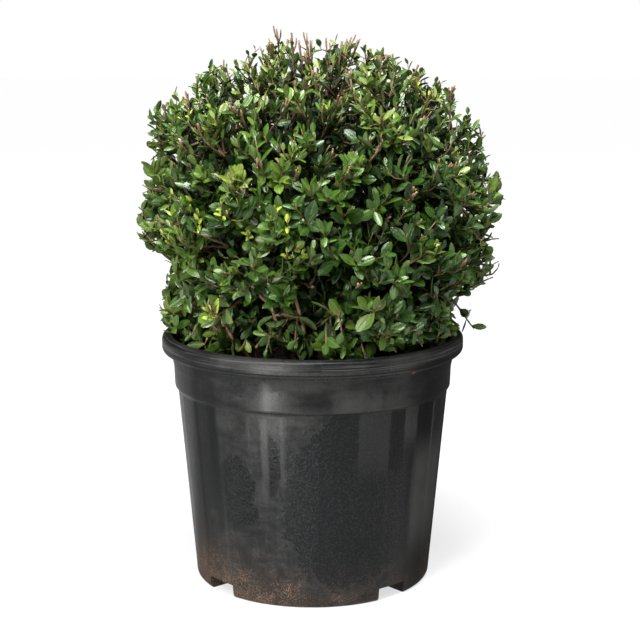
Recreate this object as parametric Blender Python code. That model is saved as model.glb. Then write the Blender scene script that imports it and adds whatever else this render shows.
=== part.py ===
# A Japanese holly clipped to a ball, in the black nursery pot that it was grown in.
#
# Metres, +Z up. The origin is the middle of the pot's flat underside, which stands on the ground,
# and the plant's front faces -Y. An azimuth is counted from the front, towards +X.

import math

import bmesh
import bpy
import numpy as np
from mathutils import Vector
from mathutils.bvhtree import BVHTree

SEED = 20
GAP = 0.0003                     # clearance between neighbouring pieces
SHARP_ANGLE = math.radians(30)   # edges that turn more than this stay sharp on round pieces
CUT_PAST = 0.010                 # how far a cutter goes past what it cuts

# Pot: a ten litre container with a thick rolled rim, a plain collar and a fluted wall
RIM_RADIUS = 0.1425
RIM_TOP = 0.2345
RIM_UNDER = 0.2184               # lower outer edge of the rim
RIM_ROUND = 0.005                # rounding of the rim's top outer edge
MOUTH_RADIUS = 0.1324
COLLAR_TOP_RADIUS = 0.1315
COLLAR_TOP = 0.2085
COLLAR_RADIUS = 0.1300
COLLAR_BOTTOM = 0.1854
WALL_TOP_RADIUS = 0.1269
WALL_TOP = 0.1802
WALL_FOOT_RADIUS = 0.1118
WALL_FOOT = 0.0045
FOOT_RADIUS = 0.1072             # the ring that the pot stands on
FOOT_ROUND = 0.0032              # how far the foot's rounding runs out, low down
FOOT_ROUND_HEIGHT = 0.0012
POT_WALL = 0.0024
PANELS = 24                      # flutes: every second panel is set back
PANEL_START = 3.33               # azimuth in degrees of one panel edge
FLUTE_DEPTH = 0.0013
FLUTE_STEP = 0.5                 # half width in degrees of the step between two panels
INNER_SIDES = 48

# Four notches in the foot, each with a drain hole in its roof
NOTCHES = 4
NOTCH_START = 41.06              # azimuth in degrees of the first notch
NOTCH_HALF_WIDTH = 0.0168
NOTCH_HEIGHT = 0.0124
NOTCH_INNER = 0.080              # how near the notch comes to the pot's axis
DRAIN_RADIUS = 0.0045
DRAIN_SIDES = 12
DRAIN_FROM_AXIS = 0.092

# Potting mix
MIX_TOP = 0.2070
MIX_CROWNING = 0.0030            # how far its edge lies under its middle
MIX_RINGS = ((0.80, 0.25), (0.45, 0.0))   # of its top: shares of the radius and of the crowning

# Stems: the main one carries all boughs but one, which comes out of the ground by itself
STEM_FOOT = Vector((-0.0205, 0.0020, MIX_TOP + GAP))
STEM_TOP = Vector((-0.0100, 0.0000, 0.2660))
STEM_RADIUS = 0.0048
STEM_TOP_RADIUS = 0.0036
STEM_SIDES = 10
STEM_FLARE = 0.0030              # extra radius at ground level
STEM_FLARE_HEIGHT = 0.0100
STEM_FLARE_RINGS = 4
STEM_RINGS = (0.45, 0.75, 1.0)   # above the flare, as shares of its height
SIDE_STEM_FOOT = Vector((0.0020, -0.0300, MIX_TOP + GAP))
SIDE_STEM_MASS = "mass_upper_5"
SIDE_STEM_RADIUS = 0.0030
SIDE_STEM_LEAN = Vector((-0.0020, -0.0030, 0.0500))

# Boughs
BOUGH_RADIUS = 0.0026
BOUGH_TIP_RADIUS = 0.0017
BOUGH_SIDES = 6
BOUGH_POINTS = 7
BOUGH_CROTCH = 0.012             # how far a bough runs out before it bends up
BOUGH_BEND = 0.45                # how early it turns to its tip's direction, as a share of its span
BOUGH_TIP_CLEAR = 0.004          # how far a bough's tip stays outside its mass's core
TOP_BOUGH_PULL = 0.030           # how far the topmost bough keeps the stem's own direction
LOWER_BOUGHS_FROM = 0.2240
LOWER_BOUGH_STEP = 0.0042
UPPER_BOUGHS_FROM = 0.2510
UPPER_BOUGH_STEP = 0.0026

# Crown: a clipped ball, a little to the right of the pot's axis
CROWN = Vector((0.0045, 0.0, 0.3445))
CROWN_RADIUS = 0.1645
CROWN_HEIGHT = 0.1620            # half of the ball's height
CROWN_POWER = 2.22               # 2 is an ellipsoid, more is boxier
TUFT_IN = 0.028                  # how far clipped tips stand in or out, as shares of the radius
TUFT_OUT = 0.017

# Masses of foliage: one at the top, a ring above the widest line and a ring below it
UPPER_MASSES = 5
UPPER_START = 49.0
UPPER_ELEVATION = 27.0
LOWER_MASSES = 6
LOWER_START = 32.0
LOWER_ELEVATION = -31.0
SPACE_MARGIN = 0.0006            # what a mass keeps to the border of its space
LIMB_CLEAR = 0.0015              # what twigs and leaves keep to the limbs, the mix and the rim

# Core of a mass: the close twigs and shaded leaves inside it
CORE_SHARE = 0.79                # its outer side, as a share of the crown's own surface
CORE_INNER = 0.066               # its inner side's distance from the crown's middle
CORE_MIDDLE = 0.100
CORE_ABOVE_MIX = 0.004
CORE_POWER = 9.0                 # how square its corners are
HALVINGS = 20                    # of the search for its outer side

# Twigs
TWIGS = 130                      # over the whole ball
LOWEST_TWIG = -0.86              # sine of the elevation where the twigs stop
TWIG_SIDES = 3
TWIG_RADIUS = 0.0016
TWIG_TIP_RADIUS = 0.0009
TWIG_RISE = 0.014                # how far below its tip's ray a twig comes out of the core
TWIG_INSIDE = 0.015              # how far a twig ends inside the tips of its leaves
ELBOW_SHARE = 0.72               # where a twig bends, as a share of its reach
ELBOW_MARGIN = 0.004

# The tips that stand furthest out: azimuth and elevation in degrees, and how far past the ball
LONG_TIPS = (
    (-60.0, 83.0, 0.010),
    (40.0, 78.0, 0.008),
    (-90.0, 7.0, 0.010),
    (-84.0, -14.0, 0.009),
    (90.0, 12.0, 0.014),
    (86.0, -44.0, 0.016),
    (178.0, 10.0, 0.010),
    (-4.0, -4.0, 0.006),
)

# Leaves, about twice life size because there are few of them
LEAF_LENGTH = 0.0320
LEAF_SIZES = (0.82, 1.10)        # shares of that length
LEAF_WIDTH = 0.0185
LEAF_WIDEST = 0.48               # share of the length
LEAF_THICKNESS = 0.0016
LEAF_SUNK = 0.0003               # how far a leaf's root goes past its twig's middle
LEAF_PAST = 0.004                # how far a leaf may end past its twig's reach
LEAF_SPREAD = (42, 70)           # degrees between a leaf and its twig
TIP_LEAF_SPREAD = (20, 48)
LEAVES_ON_TWIG = 4
LEAF_FIRST = 0.97                # where the last leaf sits on the twig outside the core
LEAF_SPACING = 0.17
LEAF_TRIES = 9
LEAF_FACES = (
    (0, 2, 5), (2, 1, 5), (1, 3, 5), (3, 0, 5),
    (2, 0, 4), (1, 2, 4), (3, 1, 4), (0, 3, 4),
)


def clearScene():
    for item in list(bpy.data.objects):
        bpy.data.objects.remove(item, do_unlink=True)


def material(name, colour, roughness, metallic=0.0):
    made = bpy.data.materials.new(name)
    made.use_nodes = True
    shader = made.node_tree.nodes["Principled BSDF"]
    shader.inputs["Base Color"].default_value = (*colour, 1.0)
    shader.inputs["Roughness"].default_value = roughness
    shader.inputs["Metallic"].default_value = metallic
    return made


def aim(azimuth, elevation):
    """Unit vector of an azimuth and an elevation in degrees."""
    a = math.radians(azimuth)
    e = math.radians(elevation)
    return Vector((math.sin(a) * math.cos(e), -math.cos(a) * math.cos(e), math.sin(e)))


def meshObject(name, points, faces, look, smooth=False):
    mesh = bpy.data.meshes.new(name)
    mesh.from_pydata([tuple(point) for point in points], [], faces)
    mesh.validate()
    if smooth:
        mesh.shade_smooth()
    made = bpy.data.objects.new(name, mesh)
    made.data.materials.append(look)
    bpy.context.scene.collection.objects.link(made)
    return made


def loft(name, rings, look, smooth=False):
    """Closed body through rings of equal length, with a flat cap at each end."""
    count = len(rings[0])
    points = [point for ring in rings for point in ring]
    faces = [list(range(count))[::-1]]
    for level in range(len(rings) - 1):
        low = level * count
        high = low + count
        for i in range(count):
            j = (i + 1) % count
            faces.append([low + i, low + j, high + j, high + i])
    top = (len(rings) - 1) * count
    faces.append([top + i for i in range(count)])
    return meshObject(name, points, faces, look, smooth)


def joinByBoolean(target, cutter, operation):
    cut = target.modifiers.new(cutter.name, "BOOLEAN")
    cut.operation = operation
    cut.solver = "EXACT"
    cut.object = cutter
    cutter.hide_render = True
    cutter.display_type = "WIRE"


def applyModifiers(item):
    """Swap an object's mesh for the mesh that its modifiers make."""
    bpy.context.view_layer.update()
    evaluated = item.evaluated_get(bpy.context.evaluated_depsgraph_get())
    mesh = bpy.data.meshes.new_from_object(evaluated)
    item.modifiers.clear()
    item.data = mesh


def countTriangles(item):
    return sum(len(face.vertices) - 2 for face in item.data.polygons)


# Pot and potting mix


def flutedRing(radius, height, depth):
    """One level of the outer wall: three points a panel, every second panel set back by depth."""
    ring = []
    panel = 360.0 / PANELS
    for k in range(PANELS):
        start = PANEL_START + k * panel
        setBack = depth if k % 2 == 0 else 0.0
        for angle in (start + FLUTE_STEP, start + panel / 2, start + panel - FLUTE_STEP):
            ring.append(aim(angle, 0.0) * (radius - setBack) + Vector((0, 0, height)))
    return ring


def roundRing(radius, height, sides=INNER_SIDES):
    ring = []
    for k in range(sides):
        ring.append(aim(k * 360.0 / sides, 0.0) * radius + Vector((0, 0, height)))
    return ring


def wallRadius(height):
    """Radius of the pot's smooth outer wall at a height below the collar."""
    share = (height - WALL_FOOT) / (WALL_TOP - WALL_FOOT)
    return WALL_FOOT_RADIUS + share * (WALL_TOP_RADIUS - WALL_FOOT_RADIUS)


def innerProfile(clearance, top):
    """Radius and height up the inside of the pot, drawn in by a clearance, up to a height."""
    inset = POT_WALL + FLUTE_DEPTH + clearance
    floor = POT_WALL + clearance
    profile = [
        (FOOT_RADIUS - inset, floor),
        (wallRadius(WALL_FOOT + POT_WALL) - inset, WALL_FOOT + POT_WALL),
        (WALL_TOP_RADIUS - inset, WALL_TOP),
        (COLLAR_RADIUS - POT_WALL - clearance, COLLAR_BOTTOM + POT_WALL),
        (COLLAR_TOP_RADIUS - POT_WALL - clearance, COLLAR_TOP),
        (MOUTH_RADIUS - clearance, RIM_TOP),
    ]
    kept = [point for point in profile if point[1] < top]
    low, high = kept[-1], profile[min(len(kept), len(profile) - 1)]
    if high[1] > low[1]:
        share = (top - low[1]) / (high[1] - low[1])
        kept.append((low[0] + share * (high[0] - low[0]), top))
    else:
        kept.append((low[0], top))
    return kept


def notchBlock(name, azimuth, growth, look):
    """The space of one notch in the foot, grown on every side by a wall."""
    outward = aim(azimuth, 0.0)
    sideways = aim(azimuth + 90.0, 0.0)
    half = NOTCH_HALF_WIDTH + growth
    inner = NOTCH_INNER - growth
    outer = WALL_FOOT_RADIUS + CUT_PAST
    rings = []
    for height in (-CUT_PAST, NOTCH_HEIGHT + growth):
        corners = ((inner, -half), (outer, -half), (outer, half), (inner, half))
        level = [outward * out + sideways * side + Vector((0, 0, height)) for out, side in corners]
        rings.append(level)
    return loft(name, rings, look)


def drainHole(name, azimuth, look):
    centre = aim(azimuth, 0.0) * DRAIN_FROM_AXIS
    rings = []
    for height in (NOTCH_HEIGHT - CUT_PAST, NOTCH_HEIGHT + CUT_PAST):
        rings.append([centre + point for point in roundRing(DRAIN_RADIUS, height, DRAIN_SIDES)])
    return loft(name, rings, look)


def makePot(look):
    corner = RIM_ROUND * (1 - math.cos(math.pi / 4))
    outer = [
        flutedRing(FOOT_RADIUS, 0.0, 0.0),
        flutedRing(FOOT_RADIUS + FOOT_ROUND, FOOT_ROUND_HEIGHT, 0.0),
        flutedRing(WALL_FOOT_RADIUS, WALL_FOOT, FLUTE_DEPTH / 2),
        flutedRing(WALL_TOP_RADIUS, WALL_TOP, FLUTE_DEPTH),
        flutedRing(COLLAR_RADIUS, COLLAR_BOTTOM, 0.0),
        flutedRing(COLLAR_TOP_RADIUS, COLLAR_TOP, 0.0),
        flutedRing(RIM_RADIUS, RIM_UNDER, 0.0),
        flutedRing(RIM_RADIUS, RIM_TOP - RIM_ROUND, 0.0),
        flutedRing(RIM_RADIUS - corner, RIM_TOP - corner, 0.0),
        flutedRing(RIM_RADIUS - RIM_ROUND, RIM_TOP, 0.0),
    ]
    pot = loft("pot", outer, look, smooth=True)
    pot.data.set_sharp_from_angle(angle=SHARP_ANGLE)

    profile = innerProfile(0.0, RIM_TOP + CUT_PAST)
    cavity = loft("cavity", [roundRing(radius, height) for radius, height in profile], look)
    azimuths = [NOTCH_START + k * 360.0 / NOTCHES for k in range(NOTCHES)]
    pockets = [notchBlock(f"pocket_{k}", azimuth, POT_WALL, look) for k, azimuth in enumerate(azimuths)]
    for pocket in pockets:
        joinByBoolean(cavity, pocket, "DIFFERENCE")
    applyModifiers(cavity)

    cutters = [cavity]
    for k, azimuth in enumerate(azimuths):
        cutters.append(notchBlock(f"notch_{k}", azimuth, 0.0, look))
        cutters.append(drainHole(f"drain_{k}", azimuth, look))
    for cutter in cutters:
        joinByBoolean(pot, cutter, "DIFFERENCE")
    applyModifiers(pot)
    for cutter in cutters + pockets:
        bpy.data.objects.remove(cutter, do_unlink=True)


def makeMix(look):
    """The root ball fills the pot; its top is level in the middle and lower at the wall."""
    profile = innerProfile(GAP, MIX_TOP - MIX_CROWNING)
    rings = [roundRing(radius, height) for radius, height in profile]
    for radiusShare, drop in MIX_RINGS:
        rings.append(roundRing(profile[-1][0] * radiusShare, MIX_TOP - MIX_CROWNING * drop))
    mix = loft("potting_mix", rings, look, smooth=True)
    mix.data.set_sharp_from_angle(angle=SHARP_ANGLE)
    pockets = []
    for k in range(NOTCHES):
        azimuth = NOTCH_START + k * 360.0 / NOTCHES
        pockets.append(notchBlock(f"mix_pocket_{k}", azimuth, POT_WALL + GAP, look))
    for pocket in pockets:
        joinByBoolean(mix, pocket, "DIFFERENCE")
    applyModifiers(mix)
    for pocket in pockets:
        bpy.data.objects.remove(pocket, do_unlink=True)


# Stems and boughs


def tubeRings(path, radii, sides, first=None, last=None):
    """Rings round a path, each square to it, with the first ring's turn carried along."""
    rings = []
    steps = [(b - a).normalized() for a, b in zip(path, path[1:])]
    tangents = [(a + b).normalized() for a, b in zip(steps, steps[1:])]
    tangents = [first or steps[0]] + tangents + [last or steps[-1]]
    side = tangents[0].orthogonal().normalized()
    for point, tangent, radius in zip(path, tangents, radii):
        side = (side - tangent * side.dot(tangent)).normalized()
        across = tangent.cross(side)
        ring = []
        for k in range(sides):
            turn = 2 * math.pi * k / sides
            ring.append(point + (side * math.cos(turn) + across * math.sin(turn)) * radius)
        rings.append(ring)
    return rings


def bezier(start, startPull, endPull, end, count):
    points = []
    for k in range(count):
        t = k / (count - 1)
        s = 1 - t
        points.append(start * s ** 3 + startPull * (3 * s * s * t) + endPull * (3 * s * t * t) + end * t ** 3)
    return points


def stemAxis(height):
    """Point and radius of the main stem at a height, with its flare at the ground."""
    share = (height - STEM_FOOT.z) / (STEM_TOP.z - STEM_FOOT.z)
    flare = STEM_FLARE * max(0.0, 1 - (height - STEM_FOOT.z) / STEM_FLARE_HEIGHT) ** 2
    radius = STEM_RADIUS + share * (STEM_TOP_RADIUS - STEM_RADIUS) + flare
    return STEM_FOOT.lerp(STEM_TOP, share), radius


def makeMainStem(look):
    """The main stem, flat on the mix. Returns its path with its radii."""
    heights = [STEM_FLARE_HEIGHT * k / (STEM_FLARE_RINGS - 1) for k in range(STEM_FLARE_RINGS)]
    heights += [(STEM_TOP.z - STEM_FOOT.z) * share for share in STEM_RINGS]
    limb = [stemAxis(STEM_FOOT.z + height) for height in heights]
    rings = []
    for centre, radius in limb:
        rings.append([centre + point for point in roundRing(radius, 0.0, STEM_SIDES)])
    loft("main_stem", rings, look, smooth=True)
    return limb


def boughPath(mass):
    """A bough leaves the stem square to it, then bends out and up to the foot of its mass."""
    tip = mass["foot"] - mass["along"] * GAP
    axis = (STEM_TOP - STEM_FOOT).normalized()
    if mass["name"] == SIDE_STEM_MASS:
        start = SIDE_STEM_FOOT
        leaving = SIDE_STEM_LEAN.normalized()
        pull = start + SIDE_STEM_LEAN
    elif mass["ring"] == "top":
        start = STEM_TOP + Vector((0, 0, GAP))
        leaving = Vector((0, 0, 1))
        pull = start + axis * TOP_BOUGH_PULL
    else:
        centre, radius = stemAxis(mass["from"])
        outward = tip - centre
        leaving = (outward - axis * outward.dot(axis)).normalized()
        start = centre + leaving * (radius + 2 * GAP)
        pull = start + leaving * BOUGH_CROTCH
    bend = BOUGH_BEND * (tip - start).length
    return bezier(start, pull, tip - mass["along"] * bend, tip, BOUGH_POINTS), leaving


def makeBoughs(masses, look):
    """One bough for each mass. One of them comes out of the ground beside the main stem."""
    limbs = []
    for mass in masses:
        path, leaving = boughPath(mass)
        isSideStem = mass["name"] == SIDE_STEM_MASS
        first = SIDE_STEM_RADIUS if isSideStem else BOUGH_RADIUS
        radii = [first + (BOUGH_TIP_RADIUS - first) * k / (len(path) - 1) for k in range(len(path))]
        rings = tubeRings(path, radii, BOUGH_SIDES, leaving, mass["along"])
        name = mass["name"].replace("mass", "bough")
        if isSideStem:
            name = "side_stem"
            for point in rings[0]:
                point.z = SIDE_STEM_FOOT.z
        loft(name, rings, look, smooth=True)
        limbs.append(list(zip(path, radii)))
    return limbs


# Masses of foliage


def listMasses():
    """Every mass with its direction from the crown's middle, and where its bough leaves the stem."""
    masses = [{"name": "mass_top", "ring": "top", "aim": aim(0.0, 90.0), "from": STEM_TOP.z}]
    for k in range(UPPER_MASSES):
        masses.append({
            "name": f"mass_upper_{k + 1}",
            "ring": "upper",
            "aim": aim(UPPER_START + k * 360.0 / UPPER_MASSES, UPPER_ELEVATION),
            "from": UPPER_BOUGHS_FROM + UPPER_BOUGH_STEP * ((k * 2) % UPPER_MASSES),
        })
    for k in range(LOWER_MASSES):
        masses.append({
            "name": f"mass_lower_{k + 1}",
            "ring": "lower",
            "aim": aim(LOWER_START + k * 360.0 / LOWER_MASSES, LOWER_ELEVATION),
            "from": LOWER_BOUGHS_FROM + LOWER_BOUGH_STEP * ((k * 5) % LOWER_MASSES),
        })
    directions = [mass["aim"] for mass in masses] + [aim(0.0, -90.0)]
    for mass in masses:
        mass["borders"] = [(mass["aim"] - other).normalized() for other in directions if other != mass["aim"]]
        mass["middle"] = CROWN + mass["aim"] * CORE_MIDDLE
        mass["along"] = (mass["middle"] - stemAxis(mass["from"])[0]).normalized()
        mass["foot"] = mass["middle"] - mass["along"] * (coreReach(mass, -mass["along"]) + BOUGH_TIP_CLEAR)
    return masses


def crownReach(direction):
    """Distance from the crown's middle to its clipped surface, a slightly boxy ellipsoid."""
    flat = math.hypot(direction.x, direction.y) / CROWN_RADIUS
    tall = abs(direction.z) / CROWN_HEIGHT
    return (flat ** CROWN_POWER + tall ** CROWN_POWER) ** (-1 / CROWN_POWER)


def inSpace(mass, point, margin=SPACE_MARGIN):
    """True where a point lies between the borders that a mass shares with its neighbours."""
    out = point - CROWN
    return all(out.dot(border) > margin for border in mass["borders"])


def clearOfPot(points):
    """A shape stays above the mix, and does not reach across the rim below its top."""
    low = min(point.z for point in points)
    if low < MIX_TOP + LIMB_CLEAR:
        return False
    if low > RIM_TOP + LIMB_CLEAR:
        return True
    return max(math.hypot(point.x, point.y) for point in points) < COLLAR_TOP_RADIUS - POT_WALL - LIMB_CLEAR


def clearOfLimbs(points, limbs):
    """No point of a small shape comes near a limb's surface."""
    for limb in limbs:
        for (a, radius), (b, _) in zip(limb, limb[1:]):
            span = b - a
            for point in points:
                share = min(1.0, max(0.0, (point - a).dot(span) / span.length_squared))
                if (point - a - span * share).length < radius + LIMB_CLEAR:
                    return False
    return True


def fits(mass, points, limbs):
    if not all(inSpace(mass, point) for point in points):
        return False
    return clearOfPot(points) and clearOfLimbs(points, limbs)


def coreReach(mass, direction):
    """How far a core goes from its middle: the power mean of the ways to its flat and round sides."""
    out = mass["middle"] - CROWN
    total = 0.0
    for border in mass["borders"]:
        total += max(0.0, -direction.dot(border) / (out.dot(border) - SPACE_MARGIN)) ** CORE_POWER
    total += max(0.0, -direction.dot(mass["aim"]) / (CORE_MIDDLE - CORE_INNER)) ** CORE_POWER
    total += max(0.0, -direction.z / (mass["middle"].z - MIX_TOP - CORE_ABOVE_MIX)) ** CORE_POWER
    near, far = 0.0, CROWN_RADIUS
    for _ in range(HALVINGS):
        half = (near + far) / 2
        at = out + direction * half
        if at.length < CORE_SHARE * crownReach(at.normalized()):
            near = half
        else:
            far = half
    total += (1 / far) ** CORE_POWER
    return total ** (-1 / CORE_POWER)


def makeCore(mass, look):
    """A rounded block that fills the inner part of its mass's space."""
    ball = bmesh.new()
    bmesh.ops.create_icosphere(ball, subdivisions=2, radius=1.0)
    for vertex in ball.verts:
        direction = vertex.co.normalized()
        vertex.co = mass["middle"] + direction * coreReach(mass, direction)
    mesh = bpy.data.meshes.new(mass["name"])
    ball.to_mesh(mesh)
    ball.free()
    core = bpy.data.objects.new(mass["name"], mesh)
    core.data.materials.append(look)
    bpy.context.scene.collection.objects.link(core)
    return core


def leafPoints(root, along, normal, length):
    """A flattened diamond body: root, tip, two edges and the two faces' middles."""
    across = along.cross(normal).normalized()
    normal = across.cross(along).normalized()
    widest = root + along * (length * LEAF_WIDEST)
    half = across * (LEAF_WIDTH * length / LEAF_LENGTH / 2)
    thick = normal * (LEAF_THICKNESS / 2)
    return [root - along * LEAF_SUNK, root + along * length, widest - half, widest + half,
            widest - thick, widest + thick]


def twigTips(random):
    """Where twigs end: even over the ball by the golden angle, with a stagger, and the long tips."""
    golden = math.pi * (3 - math.sqrt(5))
    tips = []
    for k in range(TWIGS):
        z = 1 - (1 - LOWEST_TWIG) * (k + 0.5) / TWIGS
        flat = math.sqrt(1 - z * z)
        direction = Vector((flat * math.sin(k * golden), -flat * math.cos(k * golden), z))
        tips.append((direction, crownReach(direction) * (1 + random.uniform(-TUFT_IN, TUFT_OUT))))
    for azimuth, elevation, extra in LONG_TIPS:
        direction = aim(azimuth, elevation)
        tips.append((direction, crownReach(direction) + extra))
    return tips


def growTwig(mass, direction, reach, limbs, look):
    """One twig, from the middle of its mass through the core to its tip, or nothing."""
    tip = CROWN + direction * (reach - TWIG_INSIDE)
    for rise in (TWIG_RISE, TWIG_RISE / 2, 0.0):
        elbow = CROWN + direction * (reach * ELBOW_SHARE) - Vector((0, 0, rise))
        path = [mass["middle"], elbow, tip]
        if fits(mass, path[1:], limbs) and inSpace(mass, elbow, ELBOW_MARGIN):
            rings = tubeRings(path, [TWIG_RADIUS, TWIG_RADIUS, TWIG_TIP_RADIUS], TWIG_SIDES)
            piece = loft("twig", rings, look)
            faces = [face.vertices for face in piece.data.polygons]
            shape = BVHTree.FromPolygons([vertex.co for vertex in piece.data.vertices], faces)
            return {"piece": piece, "path": path, "rings": rings, "reach": reach, "shape": shape}
    return None


def growLeaves(twig, mass, limbs, random, others):
    """Leaves along the outer part of a twig, each out of the middle of one of its faces.

    A leaf that does not fit is tried again at another slant, on the twig's next face.
    """
    leaves = []
    elbow, tip = twig["path"][1:]
    stem = tip - elbow
    along = stem.normalized()
    turn = int(random.integers(TWIG_SIDES))
    for k in range(LEAVES_ON_TWIG):
        root = elbow + stem * (LEAF_FIRST - LEAF_SPACING * k)
        length = LEAF_LENGTH * random.uniform(*LEAF_SIZES)
        for attempt in range(LEAF_TRIES):
            corner = (turn + k + attempt) % TWIG_SIDES
            across = (twig["rings"][1][corner] + twig["rings"][1][(corner + 1) % TWIG_SIDES]) / 2 - elbow
            across = (across - along * across.dot(along)).normalized()
            spread = math.radians(random.uniform(*(LEAF_SPREAD if k else TIP_LEAF_SPREAD)))
            leafAlong = along * math.cos(spread) + across * math.sin(spread)
            normal = along * math.sin(spread) - across * math.cos(spread)
            points = leafPoints(root, leafAlong, normal, length)
            if (points[1] - CROWN).length > twig["reach"] + LEAF_PAST or not fits(mass, points, limbs):
                continue
            shape = BVHTree.FromPolygons(points, LEAF_FACES)
            if not any(shape.overlap(other) for other in others):
                leaves.append(points)
                others.append(shape)
                break
    return leaves


def keepBiggestBody(item):
    """Drop loose scraps and fill sealed hollows: only the body with the most faces stays."""
    mesh = bmesh.new()
    mesh.from_mesh(item.data)
    left = set(mesh.faces)
    bodies = []
    while left:
        stack = [left.pop()]
        body = set(stack)
        while stack:
            for edge in stack.pop().edges:
                for face in edge.link_faces:
                    if face in left:
                        left.remove(face)
                        body.add(face)
                        stack.append(face)
        bodies.append(body)
    bodies.sort(key=len, reverse=True)
    for body in bodies[1:]:
        bmesh.ops.delete(mesh, geom=list(body), context="FACES")
    mesh.to_mesh(item.data)
    mesh.free()


def fuse(target, pieces):
    """One union of a body with all the pieces, which are removed after it."""
    parts = bpy.data.collections.new(target.name + "_parts")
    bpy.context.scene.collection.children.link(parts)
    for piece in pieces:
        bpy.context.scene.collection.objects.unlink(piece)
        parts.objects.link(piece)
    union = target.modifiers.new("union", "BOOLEAN")
    union.operation = "UNION"
    union.solver = "EXACT"
    union.operand_type = "COLLECTION"
    union.collection = parts
    applyModifiers(target)
    for piece in pieces:
        bpy.data.objects.remove(piece, do_unlink=True)
    bpy.data.collections.remove(parts)
    keepBiggestBody(target)


def makeMass(mass, tips, random, limbs, look):
    """Core, stem, twigs and leaves of one mass, fused to one body."""
    path = [mass["foot"], mass["foot"].lerp(mass["middle"], 0.5), mass["middle"]]
    stem = loft("stem", tubeRings(path, [BOUGH_TIP_RADIUS] * len(path), BOUGH_SIDES), look)
    twigs = []
    for direction, reach in tips:
        if inSpace(mass, CROWN + direction * reach):
            twig = growTwig(mass, direction, reach, limbs, look)
            if twig:
                twigs.append(twig)
    leaves = []
    leafShapes = []
    for twig in twigs:
        others = leafShapes + [other["shape"] for other in twigs if other is not twig]
        for points in growLeaves(twig, mass, limbs, random, others):
            leaves.append(meshObject("leaf", points, LEAF_FACES, look))
            leafShapes.append(BVHTree.FromPolygons(points, LEAF_FACES))
    core = makeCore(mass, look)
    fuse(core, [stem] + [twig["piece"] for twig in twigs] + leaves)
    print(mass["name"], "twigs", len(twigs), "leaves", len(leaves), "triangles", countTriangles(core))


def main():
    clearScene()
    plastic = material("black plastic", (0.030, 0.032, 0.034), 0.45)
    soil = material("potting mix", (0.020, 0.014, 0.010), 0.95)
    bark = material("bark", (0.110, 0.068, 0.040), 0.80)
    foliage = material("foliage", (0.035, 0.110, 0.020), 0.40)
    makePot(plastic)
    makeMix(soil)
    mainStem = makeMainStem(bark)
    masses = listMasses()
    limbs = makeBoughs(masses, bark) + [mainStem]
    random = np.random.default_rng(SEED)
    tips = twigTips(random)
    for mass in masses:
        makeMass(mass, tips, random, limbs, foliage)


main()
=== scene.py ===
# A Japanese holly clipped to a ball, in the black nursery pot that it was grown in: its looks.
# Metres, +Z up, and the plant's front faces -Y. Azimuths are counted from the front towards +X.
import math

import bpy
import numpy as np
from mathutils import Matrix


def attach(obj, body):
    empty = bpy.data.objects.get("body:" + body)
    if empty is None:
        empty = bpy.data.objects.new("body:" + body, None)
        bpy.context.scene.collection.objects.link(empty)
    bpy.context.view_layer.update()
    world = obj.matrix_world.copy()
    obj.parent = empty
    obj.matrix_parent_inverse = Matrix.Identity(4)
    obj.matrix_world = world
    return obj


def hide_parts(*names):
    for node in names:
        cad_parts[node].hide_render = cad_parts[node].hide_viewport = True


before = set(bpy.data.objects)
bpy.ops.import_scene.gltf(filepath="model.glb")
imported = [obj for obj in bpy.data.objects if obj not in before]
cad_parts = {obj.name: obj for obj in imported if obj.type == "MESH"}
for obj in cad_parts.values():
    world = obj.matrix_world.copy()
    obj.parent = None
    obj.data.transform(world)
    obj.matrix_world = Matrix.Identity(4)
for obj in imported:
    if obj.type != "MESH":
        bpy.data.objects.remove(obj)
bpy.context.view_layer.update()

view = bpy.context.scene.view_settings
view.view_transform = "Standard"


# Camera: fitted to the pot's rim, collar, wall and foot in the photo

camera = {
    "distance": 1.35,        # in front of the pot's axis
    "height": 0.4925,
    "pitch": 0.1815,         # downwards, in radians
    "lens": 81.32,
    "shift": 0.01156,
}


def addObject(name, data):
    made = bpy.data.objects.new(name, data)
    bpy.context.scene.collection.objects.link(made)
    return made


def makeCamera():
    data = bpy.data.cameras.new("camera")
    data.lens = camera["lens"]
    data.sensor_width = 36.0
    data.shift_x = camera["shift"]
    made = addObject("camera", data)
    made.location = (0.0, -camera["distance"], camera["height"])
    made.rotation_euler = (math.pi / 2 - camera["pitch"], 0.0, 0.0)
    bpy.context.scene.camera = made


makeCamera()


# Materials: sums on sockets are written as sums


class Shade:
    # One output socket. The signs add Math nodes, with a number or another Shade on either side.
    def __init__(self, look, socket):
        self.look = look
        self.socket = socket

    def maths(self, operation, first, second=0.5):
        return self.look.node("ShaderNodeMath", {0: first, 1: second}, operation=operation)

    __add__ = lambda self, other: self.maths("ADD", self, other)
    __radd__ = lambda self, other: self.maths("ADD", other, self)
    __sub__ = lambda self, other: self.maths("SUBTRACT", self, other)
    __rsub__ = lambda self, other: self.maths("SUBTRACT", other, self)
    __mul__ = lambda self, other: self.maths("MULTIPLY", self, other)
    __rmul__ = lambda self, other: self.maths("MULTIPLY", other, self)
    __truediv__ = lambda self, other: self.maths("DIVIDE", self, other)
    __rtruediv__ = lambda self, other: self.maths("DIVIDE", other, self)
    __abs__ = lambda self: self.maths("ABSOLUTE", self)
    atLeast = lambda self, other: self.maths("MAXIMUM", self, other)
    root = lambda self: self.maths("SQRT", self)


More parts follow.
